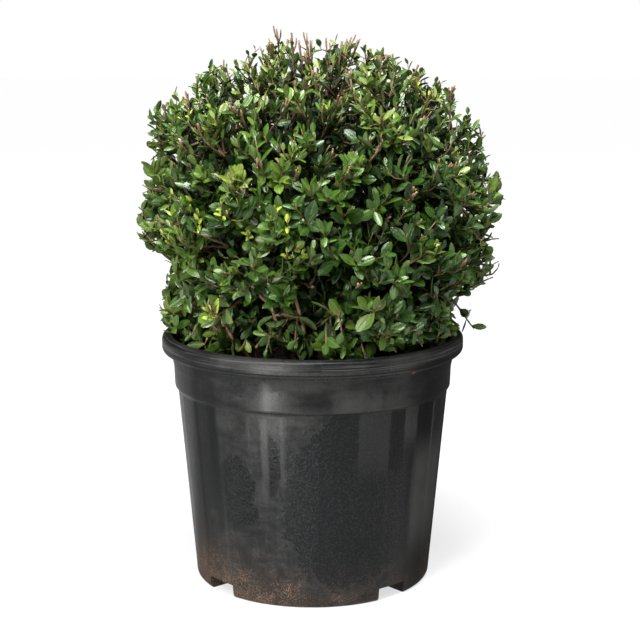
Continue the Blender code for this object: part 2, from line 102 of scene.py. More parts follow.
class Look:
    # One material with its Principled shader.
    def __init__(self, name):
        self.material = bpy.data.materials.new(name)
        self.material.use_nodes = True
        self.tree = self.material.node_tree
        self.shader = self.tree.nodes["Principled BSDF"]

    def feed(self, socket, value):
        if isinstance(value, Shade):
            self.tree.links.new(value.socket, socket)
        else:
            socket.default_value = value

    def node(self, kind, sockets={}, output=0, **settings):
        made = self.tree.nodes.new(kind)
        for name, value in settings.items():
            setattr(made, name, value)
        for key, value in sockets.items():
            self.feed(made.inputs[key], value)
        return Shade(self, made.outputs[output])

    def finish(self, **values):
        for name, value in values.items():
            self.feed(self.shader.inputs[name.replace("_", " ")], value)
        return self.material

    def place(self):
        return self.node("ShaderNodeTexCoord", output=3)

    def uv(self):
        return self.node("ShaderNodeUVMap", uv_map="along")

    def apart(self, vector):
        split = self.node("ShaderNodeSeparateXYZ", {0: vector}).socket.node
        return [Shade(self, socket) for socket in split.outputs]

    def vector(self, operation, first, second):
        # the second output holds an operation's number
        return self.node("ShaderNodeVectorMath", {0: first, 1: second}, 1, operation=operation)

    def noise(self, where, scale, detail=3.0, roughness=0.55, distortion=0.0):
        return self.node("ShaderNodeTexNoise", {"Vector": where, "Scale": scale, "Detail": detail,
                                                "Roughness": roughness, "Distortion": distortion})

    def stretch(self, where, scale):
        return self.node("ShaderNodeMapping", {"Vector": where, "Scale": scale})

    def step(self, value, low, high):
        # 0 below low, 1 above high, smooth between them; the other way round where low is the larger
        return self.node("ShaderNodeMapRange", {0: value, 1: low, 2: high}, interpolation_type="SMOOTHSTEP")

    def mix(self, share, first, second):
        first, second = [value if isinstance(value, Shade) else (*value, 1.0) for value in (first, second)]
        return self.node("ShaderNodeMix", {0: share, 6: first, 7: second}, 2, data_type="RGBA")

    def bump(self, height, strength, distance):
        return self.node("ShaderNodeBump", {"Height": height, "Strength": strength, "Distance": distance})


# Shapes: every piece is made from whole arrays of points and faces


def makePiece(name, points, faceSets, looks, uv=None, smooth=True):
    # faceSets holds pairs of a face array, one row a face, and the number of its look
    mesh = bpy.data.meshes.new(name)
    mesh.vertices.add(len(points))
    mesh.vertices.foreach_set("co", np.asarray(points, np.float32).ravel())
    corners = np.concatenate([faces.ravel() for faces, slot in faceSets]).astype(np.int32)
    sizes = np.concatenate([np.full(len(faces), faces.shape[1]) for faces, slot in faceSets])
    slots = np.concatenate([np.full(len(faces), slot) for faces, slot in faceSets])
    mesh.loops.add(len(corners))
    mesh.loops.foreach_set("vertex_index", corners)
    mesh.polygons.add(len(sizes))
    mesh.polygons.foreach_set("loop_start", (np.cumsum(sizes) - sizes).astype(np.int32))
    mesh.polygons.foreach_set("material_index", slots.astype(np.int32))
    mesh.polygons.foreach_set("use_smooth", np.full(len(sizes), smooth))
    if uv is not None:
        layer = mesh.uv_layers.new(name="along")
        layer.data.foreach_set("uv", np.asarray(uv, np.float32)[corners].ravel())
    mesh.update(calc_edges=True)
    mesh.validate()
    for look in looks:
        mesh.materials.append(look)
    return addObject(name, mesh)


def norm(vectors):
    return np.linalg.norm(vectors, axis=-1)


def unit(vectors):
    return vectors / np.maximum(norm(vectors)[..., None], 1e-12)


def dot(first, second):
    return np.sum(first * second, axis=-1, keepdims=True)


def squareTo(vectors, along):
    # unit vectors: the part of each that is square to a unit vector
    return unit(vectors - along * dot(vectors, along))


def leaning(along, aside, angle):
    return along * np.cos(angle) + aside * np.sin(angle)


def aimAt(azimuth, elevation):
    # unit vector: the elevation's cosine times (sine, minus cosine) of the azimuth, and its sine
    a, e = np.radians(azimuth), np.radians(elevation)
    return np.stack([np.sin(a) * np.cos(e), -np.cos(a) * np.cos(e), np.sin(e) + 0 * a], axis=-1)


def waves(points, scale, seed):
    # smooth bumps between about -1 and 1: the mean of 12 sine waves with seeded directions and phases
    random = np.random.default_rng(seed)
    directions = unit(random.normal(size=(12, 3))) * scale * random.uniform(0.6, 1.6, (12, 1))
    phases = random.uniform(0, 2 * np.pi, 12)
    return np.sin(points @ directions.T + phases).sum(-1) / 4.0


def smooth(share):
    # 0 to 1 with level ends: three times the square less twice the cube
    share = np.clip(share, 0, 1)
    return share * share * (3 - 2 * share)


def lengthAlong(path):
    return np.concatenate([[0], np.cumsum(norm(np.diff(path, axis=0)))])


def gridFaces(rows, columns):
    # quads between the points of a grid whose last column joins its first
    i, j = np.meshgrid(np.arange(rows - 1), np.arange(columns), indexing="ij")
    k = (j + 1) % columns
    quads = np.stack([i * columns + j, i * columns + k, (i + 1) * columns + k, (i + 1) * columns + j], -1)
    return quads.reshape(-1, 4)


def poleFaces(rows, columns):
    # triangles that close such a grid with two more points: one before its first row, one after its last
    i = np.arange(columns)
    j = (i + 1) % columns
    last = (rows - 1) * columns
    return np.vstack([np.stack([j, i, 0 * i + last + columns], -1),
                      np.stack([last + i, last + j, 0 * i + last + columns + 1], -1)])


def tubes(paths, radii, sides):
    # many tubes at once: paths is tubes x rings x 3. A ring is its path's point plus the radius times
    # the cosine and sine of the turn along two directions square to the path. Both ends are closed.
    count, rings = radii.shape
    tangent = unit(np.gradient(paths, axis=1))
    chord = unit(paths[:, -1] - paths[:, 0])
    helper = np.eye(3)[np.argmin(np.abs(chord), axis=1)]
    side = unit(np.cross(tangent, helper[:, None, :]))
    across = np.cross(tangent, side)
    turn = (2 * np.pi * np.arange(sides) / sides)[:, None]
    spokes = leaning(side[:, :, None], across[:, :, None], turn)
    points = (paths[:, :, None, :] + spokes * radii[:, :, None, None]).reshape(-1, 3)
    start = (np.arange(count) * rings * sides)[:, None, None]
    quads = (gridFaces(rings, sides)[None] + start).reshape(-1, 4)
    foot = (np.arange(sides)[::-1][None] + start[:, 0]).reshape(-1, sides)
    end = ((rings - 1) * sides + np.arange(sides)[None] + start[:, 0]).reshape(-1, sides)
    return points, quads, foot, end


def bezier(p0, p1, p2, p3, count):
    # cubic curves: the four control points weighted by the third powers' binomial terms
    t = np.linspace(0.0, 1.0, count)[None, :, None]
    p0, p1, p2, p3 = [p[:, None, :] for p in (p0, p1, p2, p3)]
    return p0 * (1 - t) ** 3 + p1 * 3 * t * (1 - t) ** 2 + p2 * 3 * t * t * (1 - t) + p3 * t ** 3


def at(paths, share):
    # points and directions on sampled paths, at shares of their length: tubes x shares
    rings = paths.shape[1]
    place = np.clip(share * (rings - 1), 0, rings - 1 - 1e-6)
    low = place.astype(int)
    rows = np.arange(len(paths))[:, None]
    a, b = paths[rows, low], paths[rows, low + 1]
    return a + (b - a) * (place - low)[..., None], unit(b - a)


# The pot

pot = {
    "gap": 0.0003,
    "rimRadius": 0.1425, "rimTop": 0.2345, "rimUnder": 0.2196,
    "mouthRadius": 0.1324, "neckRadius": 0.1342, "neck": 0.216,
    "collarTopRadius": 0.1315, "collarTop": 0.205, "collarRadius": 0.1308, "collarBottom": 0.186,
    "wallTopRadius": 0.1283, "wallTop": 0.1824, "wallFootRadius": 0.1122,
    "wall": 0.0024, "insideRows": 30,        # of the profile
    "panels": 24, "panelStart": 3.33, "fluteDepth": 0.0006, "fluteStep": 1.4,
    "panelColumns": (0.0, 0.45, 0.9, 1.4, 2.8, 5.0, 7.5, 10.0, 12.2, 13.6, 14.1, 14.55),
    "flatness": 0.1,        # of each panel, from round to a chord
    "notches": 4, "notchStart": 41.06, "notchHalf": 0.0168, "notchHeight": 0.0124, "notchInner": 0.08,
    "drainRadius": 0.0045, "drainAt": 0.092,
}


def potProfile():
    # Corners (radius, height, rounding). Each becomes an arc: a quadratic curve from one rounding
    # before the corner to one rounding after it.
    p = pot
    inset = p["wall"] + p["fluteDepth"]
    floor = p["notchHeight"] + p["wall"]
    corners = np.array([
        (p["wallFootRadius"], 0.0, 0.0045),
        (p["wallTopRadius"], p["wallTop"], 0.0014),
        (p["collarRadius"], p["collarBottom"], 0.001),
        (p["collarTopRadius"], p["collarTop"], 0.003),
        (p["neckRadius"], p["neck"], 0.0016),
        (p["rimRadius"], p["rimUnder"], 0.0036),
        (p["rimRadius"], p["rimTop"], 0.0052),
        (p["mouthRadius"], p["rimTop"], 0.0022),
        (p["collarTopRadius"] - p["wall"], p["collarTop"], 0.003),
        (p["wallTopRadius"] - inset, p["wallTop"], 0.003),
        (p["wallFootRadius"] - inset + 0.0006, floor, 0.004),
    ])
    at, rounding = corners[:, :2], corners[:, 2:]
    before = np.vstack([[0.08, 0.0], at[:-1]])
    after = np.vstack([at[1:], [0.05, floor]])
    t = np.linspace(0, 1, 7)[None, :, None]
    first = (at + unit(before - at) * rounding)[:, None]
    last = (at + unit(after - at) * rounding)[:, None]
    arcs = first * (1 - t) ** 2 + at[:, None] * 2 * t * (1 - t) + last * t * t
    # an even row every 12 mm up the wall
    wall = np.linspace(arcs[0, -1], arcs[1, 0], 16)[1:-1]
    under = np.array([[0.03, 0.0], [0.078, 0.0]])
    inside = np.array([[0.06, floor], [0.02, floor]])
    return np.vstack([under, arcs[0], wall, arcs[1:].reshape(-1, 2), inside])


def fluteShare(height):
    # how much of the flutes' depth there is at a height: none at the foot and the collar
    high = (pot["collarBottom"] - 0.0004 - height) / (pot["collarBottom"] - pot["wallTop"])
    return smooth((height - 0.001) / 0.01) * smooth(high)


def potSurface():
    # radius(turn, level) = the profile's radius less the flute's depth where a panel is set back;
    # a panel's edge is a smooth step, fluteStep degrees to each side, and a parabola flattens its middle
    profile = potProfile()
    panel = 360.0 / pot["panels"]
    turn = np.arange(pot["panels"])[:, None] * panel + np.array(pot["panelColumns"])
    turn = pot["panelStart"] + turn.ravel()
    fromEdge = (turn - pot["panelStart"]) % (2 * panel)
    edges = np.array([0.0, panel, 2 * panel])
    rise = smooth((fromEdge[:, None] - edges) / (2 * pot["fluteStep"]) + 0.5)
    setBack = rise[:, 0] - rise[:, 1] + rise[:, 2]
    outside = np.arange(len(profile)) < len(profile) - pot["insideRows"]
    flutes = (fluteShare(profile[:, 1]) * outside)[:, None]
    fromMiddle = (fromEdge % panel) / panel * 2 - 1
    sag = pot["wallTopRadius"] * (1 - math.cos(math.radians(panel / 2))) * pot["flatness"]
    radius = profile[:, :1] - flutes * (pot["fluteDepth"] * setBack + sag * (1 - fromMiddle ** 2))
    points = aimAt(turn, 0.0)[None] * radius[..., None]
    points[..., 2] = profile[:, 1:]
    length = lengthAlong(profile)
    uv = np.stack(np.broadcast_arrays(np.radians(turn) * pot["rimRadius"], length[:, None]), -1)
    points = np.vstack([points.reshape(-1, 3), [[0, 0, 0], [0, 0, profile[-1, 1]]]])
    uv = np.vstack([uv.reshape(-1, 2), [[0, 0], [0, length[-1]]]])
    grid = len(profile), len(turn)
    return points, gridFaces(*grid), poleFaces(*grid), uv


def prism(name, outline, low, high):
    # a closed block: an outline in the ground plane, carried straight up
    count = len(outline)
    points = np.vstack([np.column_stack([outline, np.full(count, z)]) for z in (low, high)])
    ends = np.stack([np.arange(count)[::-1], np.arange(count) + count])
    return makePiece(name, points, [(gridFaces(2, count), 0), (ends, 0)], [], smooth=False)


def cutAway(piece, cutters):
    for cutter in cutters:
        cut = piece.modifiers.new("cut", "BOOLEAN")
        cut.operation = "DIFFERENCE"
        cut.solver = "EXACT"
        cut.object = cutter
    bpy.context.view_layer.update()
    shaped = piece.evaluated_get(bpy.context.evaluated_depsgraph_get())
    mesh = bpy.data.meshes.new_from_object(shaped)
    piece.modifiers.clear()
    piece.data = mesh
    for cutter in cutters:
        bpy.data.objects.remove(cutter)


def makePot(looks):
    points, quads, poles, uv = potSurface()
    piece = makePiece("pot_shell", points, [(quads, 0), (poles, 0)], looks, uv)
    cutters = []
    for k in range(pot["notches"]):
        azimuth = pot["notchStart"] + k * 360.0 / pot["notches"]
        out = aimAt(azimuth, 0.0)[:2]
        aside = np.array([-out[1], out[0]])
        half, inner, outer = pot["notchHalf"], pot["notchInner"], pot["wallFootRadius"] + 0.01
        corners = np.array([(inner, -half), (outer, -half), (outer, half), (inner, half)])
        outline = corners[:, :1] * out + corners[:, 1:] * aside
        cutters.append(prism("notch", outline, -0.01, pot["notchHeight"]))
        ring = aimAt(np.arange(24) * 15.0, 0.0)[:, :2] * pot["drainRadius"] + out * pot["drainAt"]
        cutters.append(prism("drain", ring, pot["notchHeight"] - 0.01, pot["notchHeight"] + 0.01))
    cutAway(piece, cutters)
    piece.data.set_sharp_from_angle(angle=math.radians(42))
    return piece


potLooks = {
    # the second plastic colour is painted shade, darker towards the sides
    "plastic": (0.0042, 0.0046, 0.0049), "plasticShadedSides": (0.003, 0.0032, 0.0033),
    "filmAndPaintedLight": (0.02, 0.0199, 0.019),           # dried water and fine dust; its share also carries a painted highlight on the lip and painted shade at the sides
    "sides": 36.0,           # painted shade: how much less film, so darker plastic, there is towards the sides, by x squared
    "soil": (0.029, 0.0236, 0.0195), "crumb": (0.115, 0.066, 0.037),
    "scuffAndSheen": (0.09, 0.088, 0.084), "rust": (0.22, 0.08, 0.025), "rustAt": (0.0893, -0.0998, 0.217),
    # the wet colour also darkens the bands of painted shade
    "driedWaterAndSheen": (0.045, 0.0445, 0.043), "wet": (0.001, 0.0012, 0.0012), "line": (0.002, 0.002, 0.002),
    # Upright bands on the front. In millimetres: both sides as x at a radius of 125, the heights that they
    # fade out at and reach up to, and the sides' softness. Then more or less film, and a tint: dried
    # water or painted highlight, or below 0 wet or painted shade.
    "bandRadius": 0.125,
    # painted shade: a dark band on the left, then more film
    "bands": ((-93.8, -86.6, 85, 184, 1.4, -0.5, -0.7), (-85, -29.7, 50, 184, 4, 0.1, 0),
              # painted highlights: the sheen's bright streak on the wall, then a thin bright line along a
              # flute's edge
              (-45.6, -39.6, 95, 178, 1.4, 0.1, 0.44), (-28.5, -25.1, 100, 181, 0.6, 0.1, 0.22),
              (8.4, 39.5, 110, 184, 0.8, -0.1, -0.15), (40.5, 67.6, 110, 184, 1.2, 0, 0.16),
              # painted shade: a dark band, then a painted reflection of a lamp to the right
              (68.7, 81.8, 105, 184, 0.8, -0.3, -1), (82.1, 93, 140, 183, 1, 0, 0.36),
              # painted shade: a dark band, then dried film low on the right
              (93.6, 108, 145, 184, 1, -0.2, -0.6), (93.6, 124, 20, 138, 4, 0.1, 0.66),
              # a painted highlight: a thin bright line along a flute's edge, then film alone
              (108.2, 110, 30, 182, 0.4, 0, 0.5), (-25.1, 14.8, 110, 182, 4, 0, 0),
              # and on the collar: a painted highlight where its sheen falls, a darker middle, and two
              # patches of dried water
              (-42, -35.2, 178, 212, 3.4, 0, 0.75), (-19.6, 15.3, 184, 205, 8, -0.26, -0.36),
              (26.8, 46, 180, 205, 6, 0.1, 0.18), (49.8, 57.5, 180, 204, 2, 0.1, 0.16)),
    # heights of the painted shadow lines under the lip's face and under the collar
    "lipShadowLine": 0.2213, "collarShadowLine": 0.1842,
    # wet places on the front: x, z, half width, half height of each blot
    "wetFront": ((0.032, 0.099, 0.06, 0.079), (0.052, 0.158, 0.046, 0.038)),
    "wetLeft": ((-0.069, 0.113, 0.017, 0.024), (-0.0365, 0.134, 0.0085, 0.026),
                (-0.062, 0.088, 0.014, 0.013)),
}


def blot(look, place, spots, wobble, softness):
    # 1 inside any of the ellipses, 0 outside, with a wobbling soft edge, and only on the front half
    nearest = None
    x, y, z = look.apart(place)
    for cx, cz, w, h in spots:
        across = (x - cx) * (1.0 / w)
        upward = (z - cz) * (1.0 / h)
        inside = 1.0 - (across * across + upward * upward)
        nearest = nearest.atLeast(inside) if nearest else inside
    return look.step(nearest + wobble, -softness, softness) * look.step(y, 0.0, -0.02)


def plasticLook():
    p = potLooks
    look = Look("nursery plastic")
    place = look.place()
    x, y, z = look.apart(place)
    along = look.uv()
    broad = look.noise(place, 22.0, 4.0)
    fine = look.noise(place, 340.0, 3.0, 0.65)
    grain = look.noise(place, 1500.0, 2.0, 0.6)
    blotches = look.noise(place, 75.0, 5.0, 0.62, 0.6)

    # wet and wiped places: darker and smoother than the film on the rest
    drops = look.noise(place, 430.0, 1.0)
    wobble = (broad - 0.5) * 0.9 + (blotches - 0.5) * 1.3 + (drops - 0.5) * 0.5
    wipes = look.noise(look.stretch(along, (30.0, 110.0, 1.0)), 1.0, 4.0, 0.6, 0.4)
    streaked = blot(look, place, p["wetLeft"], wobble * 1.7, 0.2)
    soaked = blot(look, place, p["wetFront"], wobble, 0.04) * look.step(z, 0.185, 0.1836)
    ring = blot(look, place, p["wetFront"], wobble, 0.55) * (1.0 - soaked)
    wet = soaked.atLeast(streaked)

    # streaks run down the wall, scuffs run round the rim
    streaks = look.noise(look.stretch(along, (150.0, 9.0, 1.0)), 1.0, 4.0, 0.6)
    scratches = look.noise(look.stretch(along, (9.0, 700.0, 1.0)), 1.0, 4.0, 0.7)

    filmAndPaintedLight = 0.36 + (broad - 0.5) * 1.1 + (streaks - 0.5) * 0.4 + (fine - 0.5) * 0.45 + (blotches - 0.5) * 0.5
    filmAndPaintedLight = filmAndPaintedLight + (wipes - 0.5) * 0.9
    upper = look.step(z, 0.15, 0.215)
    front = look.step(y, -0.004, -0.055)
    around = x * p["bandRadius"] / (x * x + y * y).root().atLeast(0.001)
    around = around + (blotches - 0.5) * 0.0022 + (wipes - 0.5) * 0.0016
    tints = []
    for *lengths, change, tint in p["bands"]:
        near, far, low, high, soft = [length / 1000 for length in lengths]
        band = look.step(around, near - soft, near + soft) * look.step(around, far + soft, far - soft)
        band = band * front
        # soft at the top where they end on the wall, sharp at the collar's lower edge
        above = 0.02 if high < 0.17 else 0.0006 if high < 0.19 else 0.004
        band = band * look.step(z, low, (low + high) * 0.5) * look.step(z, high + above, high - above)
        filmAndPaintedLight = filmAndPaintedLight + band * change
        tints.append((band, tint))
    rim = look.step(z, 0.2235, 0.226)
    # a pale ring round the wet places, more film up high, and painted shade: less film towards the sides
    filmAndPaintedLight = filmAndPaintedLight + ring * 0.4 + upper * 0.3 - x * x * p["sides"]
    # painted light on the lip's face: more film on its mid-left where the sheen falls and on its right,
    # less in its middle and at its far left
    filmAndPaintedLight = filmAndPaintedLight + rim * (look.step(x, -0.1, -0.075) * 0.5 - 0.25 + look.step(x, 0.0, -0.04) * 0.75
                         - 0.75 + look.step(x, 0.03, 0.09) * 0.75)
    beads = look.step(look.noise(place, 640.0, 2.0, 0.8), 0.49, 0.61)
    filmAndPaintedLight = look.step(filmAndPaintedLight, 0.02, 0.95) * (1.0 - wet * 0.96) + beads * (0.07 + wet * 0.36)
    # painted shade: the bare plastic turns darker towards the sides
    bare = look.mix(look.step(x * x, 0.003, 0.0095), p["plastic"], p["plasticShadedSides"])
    colour = look.mix(filmAndPaintedLight, bare, p["filmAndPaintedLight"])
    shore = wet * (1.0 - wet) * 2.4
    colour = look.mix((streaked * 0.55).atLeast(shore), colour, p["wet"])
    # pale tints lighten towards dried water and painted highlight, tints below 0 darken towards the wet
    # colour, which also paints shade
    for band, tint in tints:
        share = band * abs(tint) * (0.35 + broad * 0.6 + blotches * 0.7)
        colour = look.mix(share, colour, p["driedWaterAndSheen"] if tint > 0 else p["wet"])

    # soil splashed up the foot, thick in crumbs at the very bottom
    left = look.step(x, 0.02, -0.11)
    height = z - (blotches - 0.5) * 0.05 - left * 0.029 + 0.003
    haze = look.step(height, 0.058, -0.004) * (0.46 + (grain - 0.5) * 1.1)
    colour = look.mix(haze * (1.0 - wet * 0.4), colour, p["soil"])
    dust = look.noise(place, 950.0, 2.0, 0.6)
    crumbs = look.step(dust + look.step(height, 0.026, -0.012) * 0.1 + (blotches - 0.5) * 0.25, 0.61, 0.7)
    crumbs = crumbs * look.step(height, 0.042, 0.004)
    colour = look.mix(crumbs * 0.8, colour, p["crumb"])

    # pale scratches round the rim, partly a painted highlight of its streaky sheen, painted shadow lines
    # under the lip's face and under the collar, and one rusty mark
    scuffsAndSheen = look.step(scratches, 0.46, 0.7) * rim * 0.5
    colour = look.mix(scuffsAndSheen, colour, p["scuffAndSheen"])
    # painted shadow lines: a thin dark line under the collar's lower edge and one under the lip's face
    under = look.step(abs(z - p["collarShadowLine"]), 0.0012, 0.0005) * 0.8
    line = look.step(abs(z - p["lipShadowLine"]), 0.001, 0.0003).atLeast(under)
    colour = look.mix(line * 0.8, colour, p["line"])
    specks = look.step(look.noise(place, 480.0, 1.0), 0.79, 0.83) * 0.6
    colour = look.mix(specks, colour, p["scuffAndSheen"])
    fromMark = look.vector("DISTANCE", place, p["rustAt"])
    mark = look.step(fromMark + (blotches - 0.5) * 0.004, 0.0028, 0.0012)
    colour = look.mix(mark * 0.7, colour, p["rust"])

    # rougher to the sides and where there is film or soil, and smoother on the collar
    rough = 0.19 + filmAndPaintedLight * 0.09 + haze * 0.25 + (blotches - 0.5) * 0.12 + crumbs * 0.2 + (fine - 0.5) * 0.1
    side = look.step(x * x, 0.0049, 0.0081) * 0.34 - look.step(x, -0.104, -0.113) * 0.15
    rough = rough + side + look.step(x, 0.08, 0.105) * 0.36
    rough = rough + look.step(z, 0.184, 0.19) * look.step(x, 0.0, -0.1) * 0.1
    rough = rough - look.step(z, 0.184, 0.187) * look.step(z, 0.2075, 0.205) * 0.065
    height = grain * 0.45 + fine * 0.6 + drops * (0.5 + wet) + beads * (0.3 + wet)
    height = height + crumbs * 1.4 + scratches * rim * 1.2
    normal = look.bump(height, 0.42, 0.0004)
    return look.finish(Base_Color=colour, Roughness=rough, Normal=normal, Specular_IOR_Level=0.095)


# Potting mix

mix = {
    "top": 0.207, "crowning": 0.003, "seed": 5, "rings": 60, "columns": 160,
    "lump": 0.0016,          # height of its lumps
    "chips": 900, "chipSize": (0.0016, 0.0048),
}


def mixHeight(points):
    # level in the middle and lower at the wall, with lumps of three sizes
    radius = norm(points[..., :2]) / pot["collarTopRadius"]
    flat = np.concatenate([points[..., :2], 0 * points[..., :1]], -1)
    lumps = waves(flat, 260.0, 1) * 0.5 + waves(flat, 620.0, 2) * 0.35 + waves(flat, 1400.0, 3) * 0.2
    return mix["top"] - mix["crowning"] * radius ** 3 - mix["lump"] * 0.6 + mix["lump"] * lumps


def makeMix(looks):
    # a closed disc: a flat floor, a wall just inside the pot's, and a top that follows mixHeight
    inset = pot["wall"] + pot["fluteDepth"] + pot["gap"]
    around = aimAt(np.arange(mix["columns"]) * 360.0 / mix["columns"], 0.0)
    edge = pot["collarTopRadius"] - pot["wall"] - 0.0006
    floor = pot["notchHeight"] + pot["wall"] + 2 * pot["gap"]
    below = np.array([(0.02, floor), (0.09, floor), (pot["wallFootRadius"] - inset - 0.0005, floor),
                      (pot["wallTopRadius"] - inset - 0.0005, pot["wallTop"] - 0.004), (edge, 0.2025)])
    lower = around[None] * below[:, :1, None]
    lower[..., 2] = below[:, 1:]
    radius = edge * np.linspace(0.997, 0.01, mix["rings"])
    upper = around[None] * radius[:, None, None]
    upper[..., 2] = mixHeight(upper)
    middle = np.array([[0, 0, floor], [0, 0, mixHeight(np.zeros((1, 3)))[0]]])
    points = np.vstack([np.concatenate([lower, upper]).reshape(-1, 3), middle])
    grid = len(below) + mix["rings"], mix["columns"]
    return makePiece("mix_top", points, [(gridFaces(*grid), 0), (poleFaces(*grid), 0)], looks)


def makeChips(looks):
    # bits of bark: eight-sided lumps, squashed and turned by a seeded frame
    random = np.random.default_rng(mix["seed"])
    count = mix["chips"]
    reach = (pot["collarTopRadius"] - 0.008) * np.sqrt(random.uniform(0, 1, count))
    centre = aimAt(random.uniform(0, 360, count), 0.0) * reach[:, None]
    centre[:, 2] = mixHeight(centre) + 0.0003
    size = random.uniform(*mix["chipSize"], (count, 1)) * random.uniform(0.25, 0.7, (count, 3))
    size[:, 0] *= 1.6
    first = unit(random.normal(size=(count, 3)) * (1, 1, 0.35))
    second = unit(np.cross(first, random.normal(size=(count, 3))))
    axes = np.stack([first, second, np.cross(first, second)], 1)
    corner = np.array([(1, 0, 0), (0, 1, 0), (-1, 0, 0), (0, -1, 0), (0.3, 0.2, 1), (-0.2, 0.1, -1)])
    corner = corner * random.uniform(0.75, 1.15, (count, 6, 1))
    points = centre[:, None] + np.einsum("nij,njk->nik", corner * size[:, None], axes)
    faces = np.array([(0, 1, 4), (1, 2, 4), (2, 3, 4), (3, 0, 4),
                      (1, 0, 5), (2, 1, 5), (3, 2, 5), (0, 3, 5)])
    start = (np.arange(count) * 6)[:, None, None]
    slots = random.integers(0, len(looks), count)
    sets = [((faces[None] + start[slots == k]).reshape(-1, 3), k) for k in range(len(looks))]
    return makePiece("mix_chips", points.reshape(-1, 3), sets, looks, smooth=False)


def mixLook():
    look = Look("peat and bark")
    place = look.place()
    fine = look.noise(place, 700.0, 4.0, 0.7)
    broad = look.noise(place, 120.0, 3.0)
    colour = look.mix(look.step(fine, 0.35, 0.75), (0.007, 0.005, 0.004), (0.05, 0.031, 0.019))
    colour = look.mix(look.step(broad, 0.45, 0.75) * 0.5, colour, (0.028, 0.016, 0.009))
    return look.finish(Base_Color=colour, Roughness=0.85 + (fine - 0.5) * 0.2,
                       Normal=look.bump(fine + broad, 0.6, 0.0012))


def chipLook(name, dark, light):
    look = Look(name)
    fine = look.noise(look.place(), 900.0, 3.0, 0.7)
    return look.finish(Base_Color=look.mix(fine, dark, light), Roughness=0.75 + (fine - 0.5) * 0.3,
                       Normal=look.bump(fine, 0.5, 0.0006))


# Stems and boughs: their paths follow the rule in the model's source

stems = {
    "foot": (-0.0205, 0.002, mix["top"] + pot["gap"]), "top": (-0.01, 0.0, 0.266),
    "radius": 0.0048, "topRadius": 0.0036, "flare": 0.003, "flareHeight": 0.01,
    "sideFoot": (0.002, -0.03, mix["top"] + pot["gap"]), "sideMass": "upper_5",
    "sideRadius": 0.003, "sideLean": (-0.002, -0.003, 0.05),
    "boughRadius": 0.0026, "boughTip": 0.0017, "crotch": 0.012, "bend": 0.45, "tipClear": 0.004,
    "topPull": 0.03, "rings": 40, "sides": 18,
}
crown = {
    "middle": (0.0045, 0.0, 0.3445), "radius": 0.1645, "height": 0.162, "power": 2.22,
    # rounds of masses: name, how many, first azimuth, elevation, then on the stem the lowest bough's
    # height, the height from one to the next, and how many places each goes on
    "rounds": (("upper", 5, 49.0, 27.0, 0.251, 0.0026, 2), ("lower", 6, 32.0, -31.0, 0.224, 0.0042, 5)),
    "coreShare": 0.79, "coreInner": 0.066, "coreMiddle": 0.1, "aboveMix": 0.004, "corePower": 9.0,
    "margin": 0.0006,
}
crownMiddle = np.array(crown["middle"])
stemFoot = np.array(stems["foot"])
stemTop = np.array(stems["top"])


def crownReach(directions):
    # from the crown's middle to its clipped surface: an ellipsoid with a power of 2.22 for 2
    flat = norm(directions[..., :2]) / crown["radius"]
    tall = np.abs(directions[..., 2]) / crown["height"]
    return (flat ** crown["power"] + tall ** crown["power"]) ** (-1 / crown["power"])


def outTo(directions, reach):
    return crownMiddle + directions * reach[..., None]


def stemAxis(height):
    # the stem's middle and radius at a height
    share = (height - stemFoot[2]) / (stemTop[2] - stemFoot[2])
    radius = stems["radius"] + share * (stems["topRadius"] - stems["radius"])
    return stemFoot + (stemTop - stemFoot) * share, radius


def coreReach(mass, direction):
    # the power mean of the ways from a mass's middle to the sides of its space, as in the source
    out = mass["middle"] - crownMiddle
    ways = [max(0.0, -direction @ b / (out @ b - crown["margin"])) for b in mass["borders"]]
    ways.append(max(0.0, -direction @ mass["aim"] / (crown["coreMiddle"] - crown["coreInner"])))
    ways.append(max(0.0, -direction[2] / (mass["middle"][2] - mix["top"] - crown["aboveMix"])))
    steps = np.linspace(0.0, crown["radius"], 4000)[1:]
    where = out + direction * steps[:, None]
    inside = norm(where) < crown["coreShare"] * crownReach(unit(where))
    ways.append(1 / steps[inside][-1])
    return sum(way ** crown["corePower"] for way in ways) ** (-1 / crown["corePower"])


def listMasses():
    masses = [{"name": "top", "aim": aimAt(0.0, 90.0), "from": stemTop[2]}]
    for name, count, azimuth, elevation, lowest, step, places in crown["rounds"]:
        for k in range(count):
            masses.append({"name": f"{name}_{k + 1}", "aim": aimAt(azimuth + k * 360.0 / count, elevation),
                           "from": lowest + step * ((k * places) % count)})
    aims = np.array([mass["aim"] for mass in masses] + [[0.0, 0.0, -1.0]])
    for k, mass in enumerate(masses):
        mass["borders"] = unit(mass["aim"] - np.delete(aims, k, axis=0))
        mass["middle"] = crownMiddle + mass["aim"] * crown["coreMiddle"]
        mass["along"] = unit(mass["middle"] - stemAxis(mass["from"])[0])
        clear = coreReach(mass, -mass["along"]) + stems["tipClear"]
        mass["foot"] = mass["middle"] - mass["along"] * clear
    return masses


def limbPath(mass):
    # a bough leaves the stem square to it, bends to its mass and runs on to the mass's middle
    axis = unit(stemTop - stemFoot)
    tip = mass["foot"]
    if mass["name"] == stems["sideMass"]:
        start = np.array(stems["sideFoot"])
        pull = start + np.array(stems["sideLean"])
    elif mass["name"] == "top":
        start = stemTop
        pull = start + axis * stems["topPull"]
    else:
        centre, radius = stemAxis(mass["from"])
        outward = tip - centre
        leaving = unit(outward - axis * (outward @ axis))
        start = centre + leaving * radius * 0.4
        pull = centre + leaving * (radius + stems["crotch"])
    bend = stems["bend"] * norm(tip - start)
    path = bezier(start[None], pull[None], (tip - mass["along"] * bend)[None], tip[None], stems["rings"])[0]
    beyond = np.linspace(tip, mass["middle"], 12)[1:]
    return np.vstack([path, beyond])


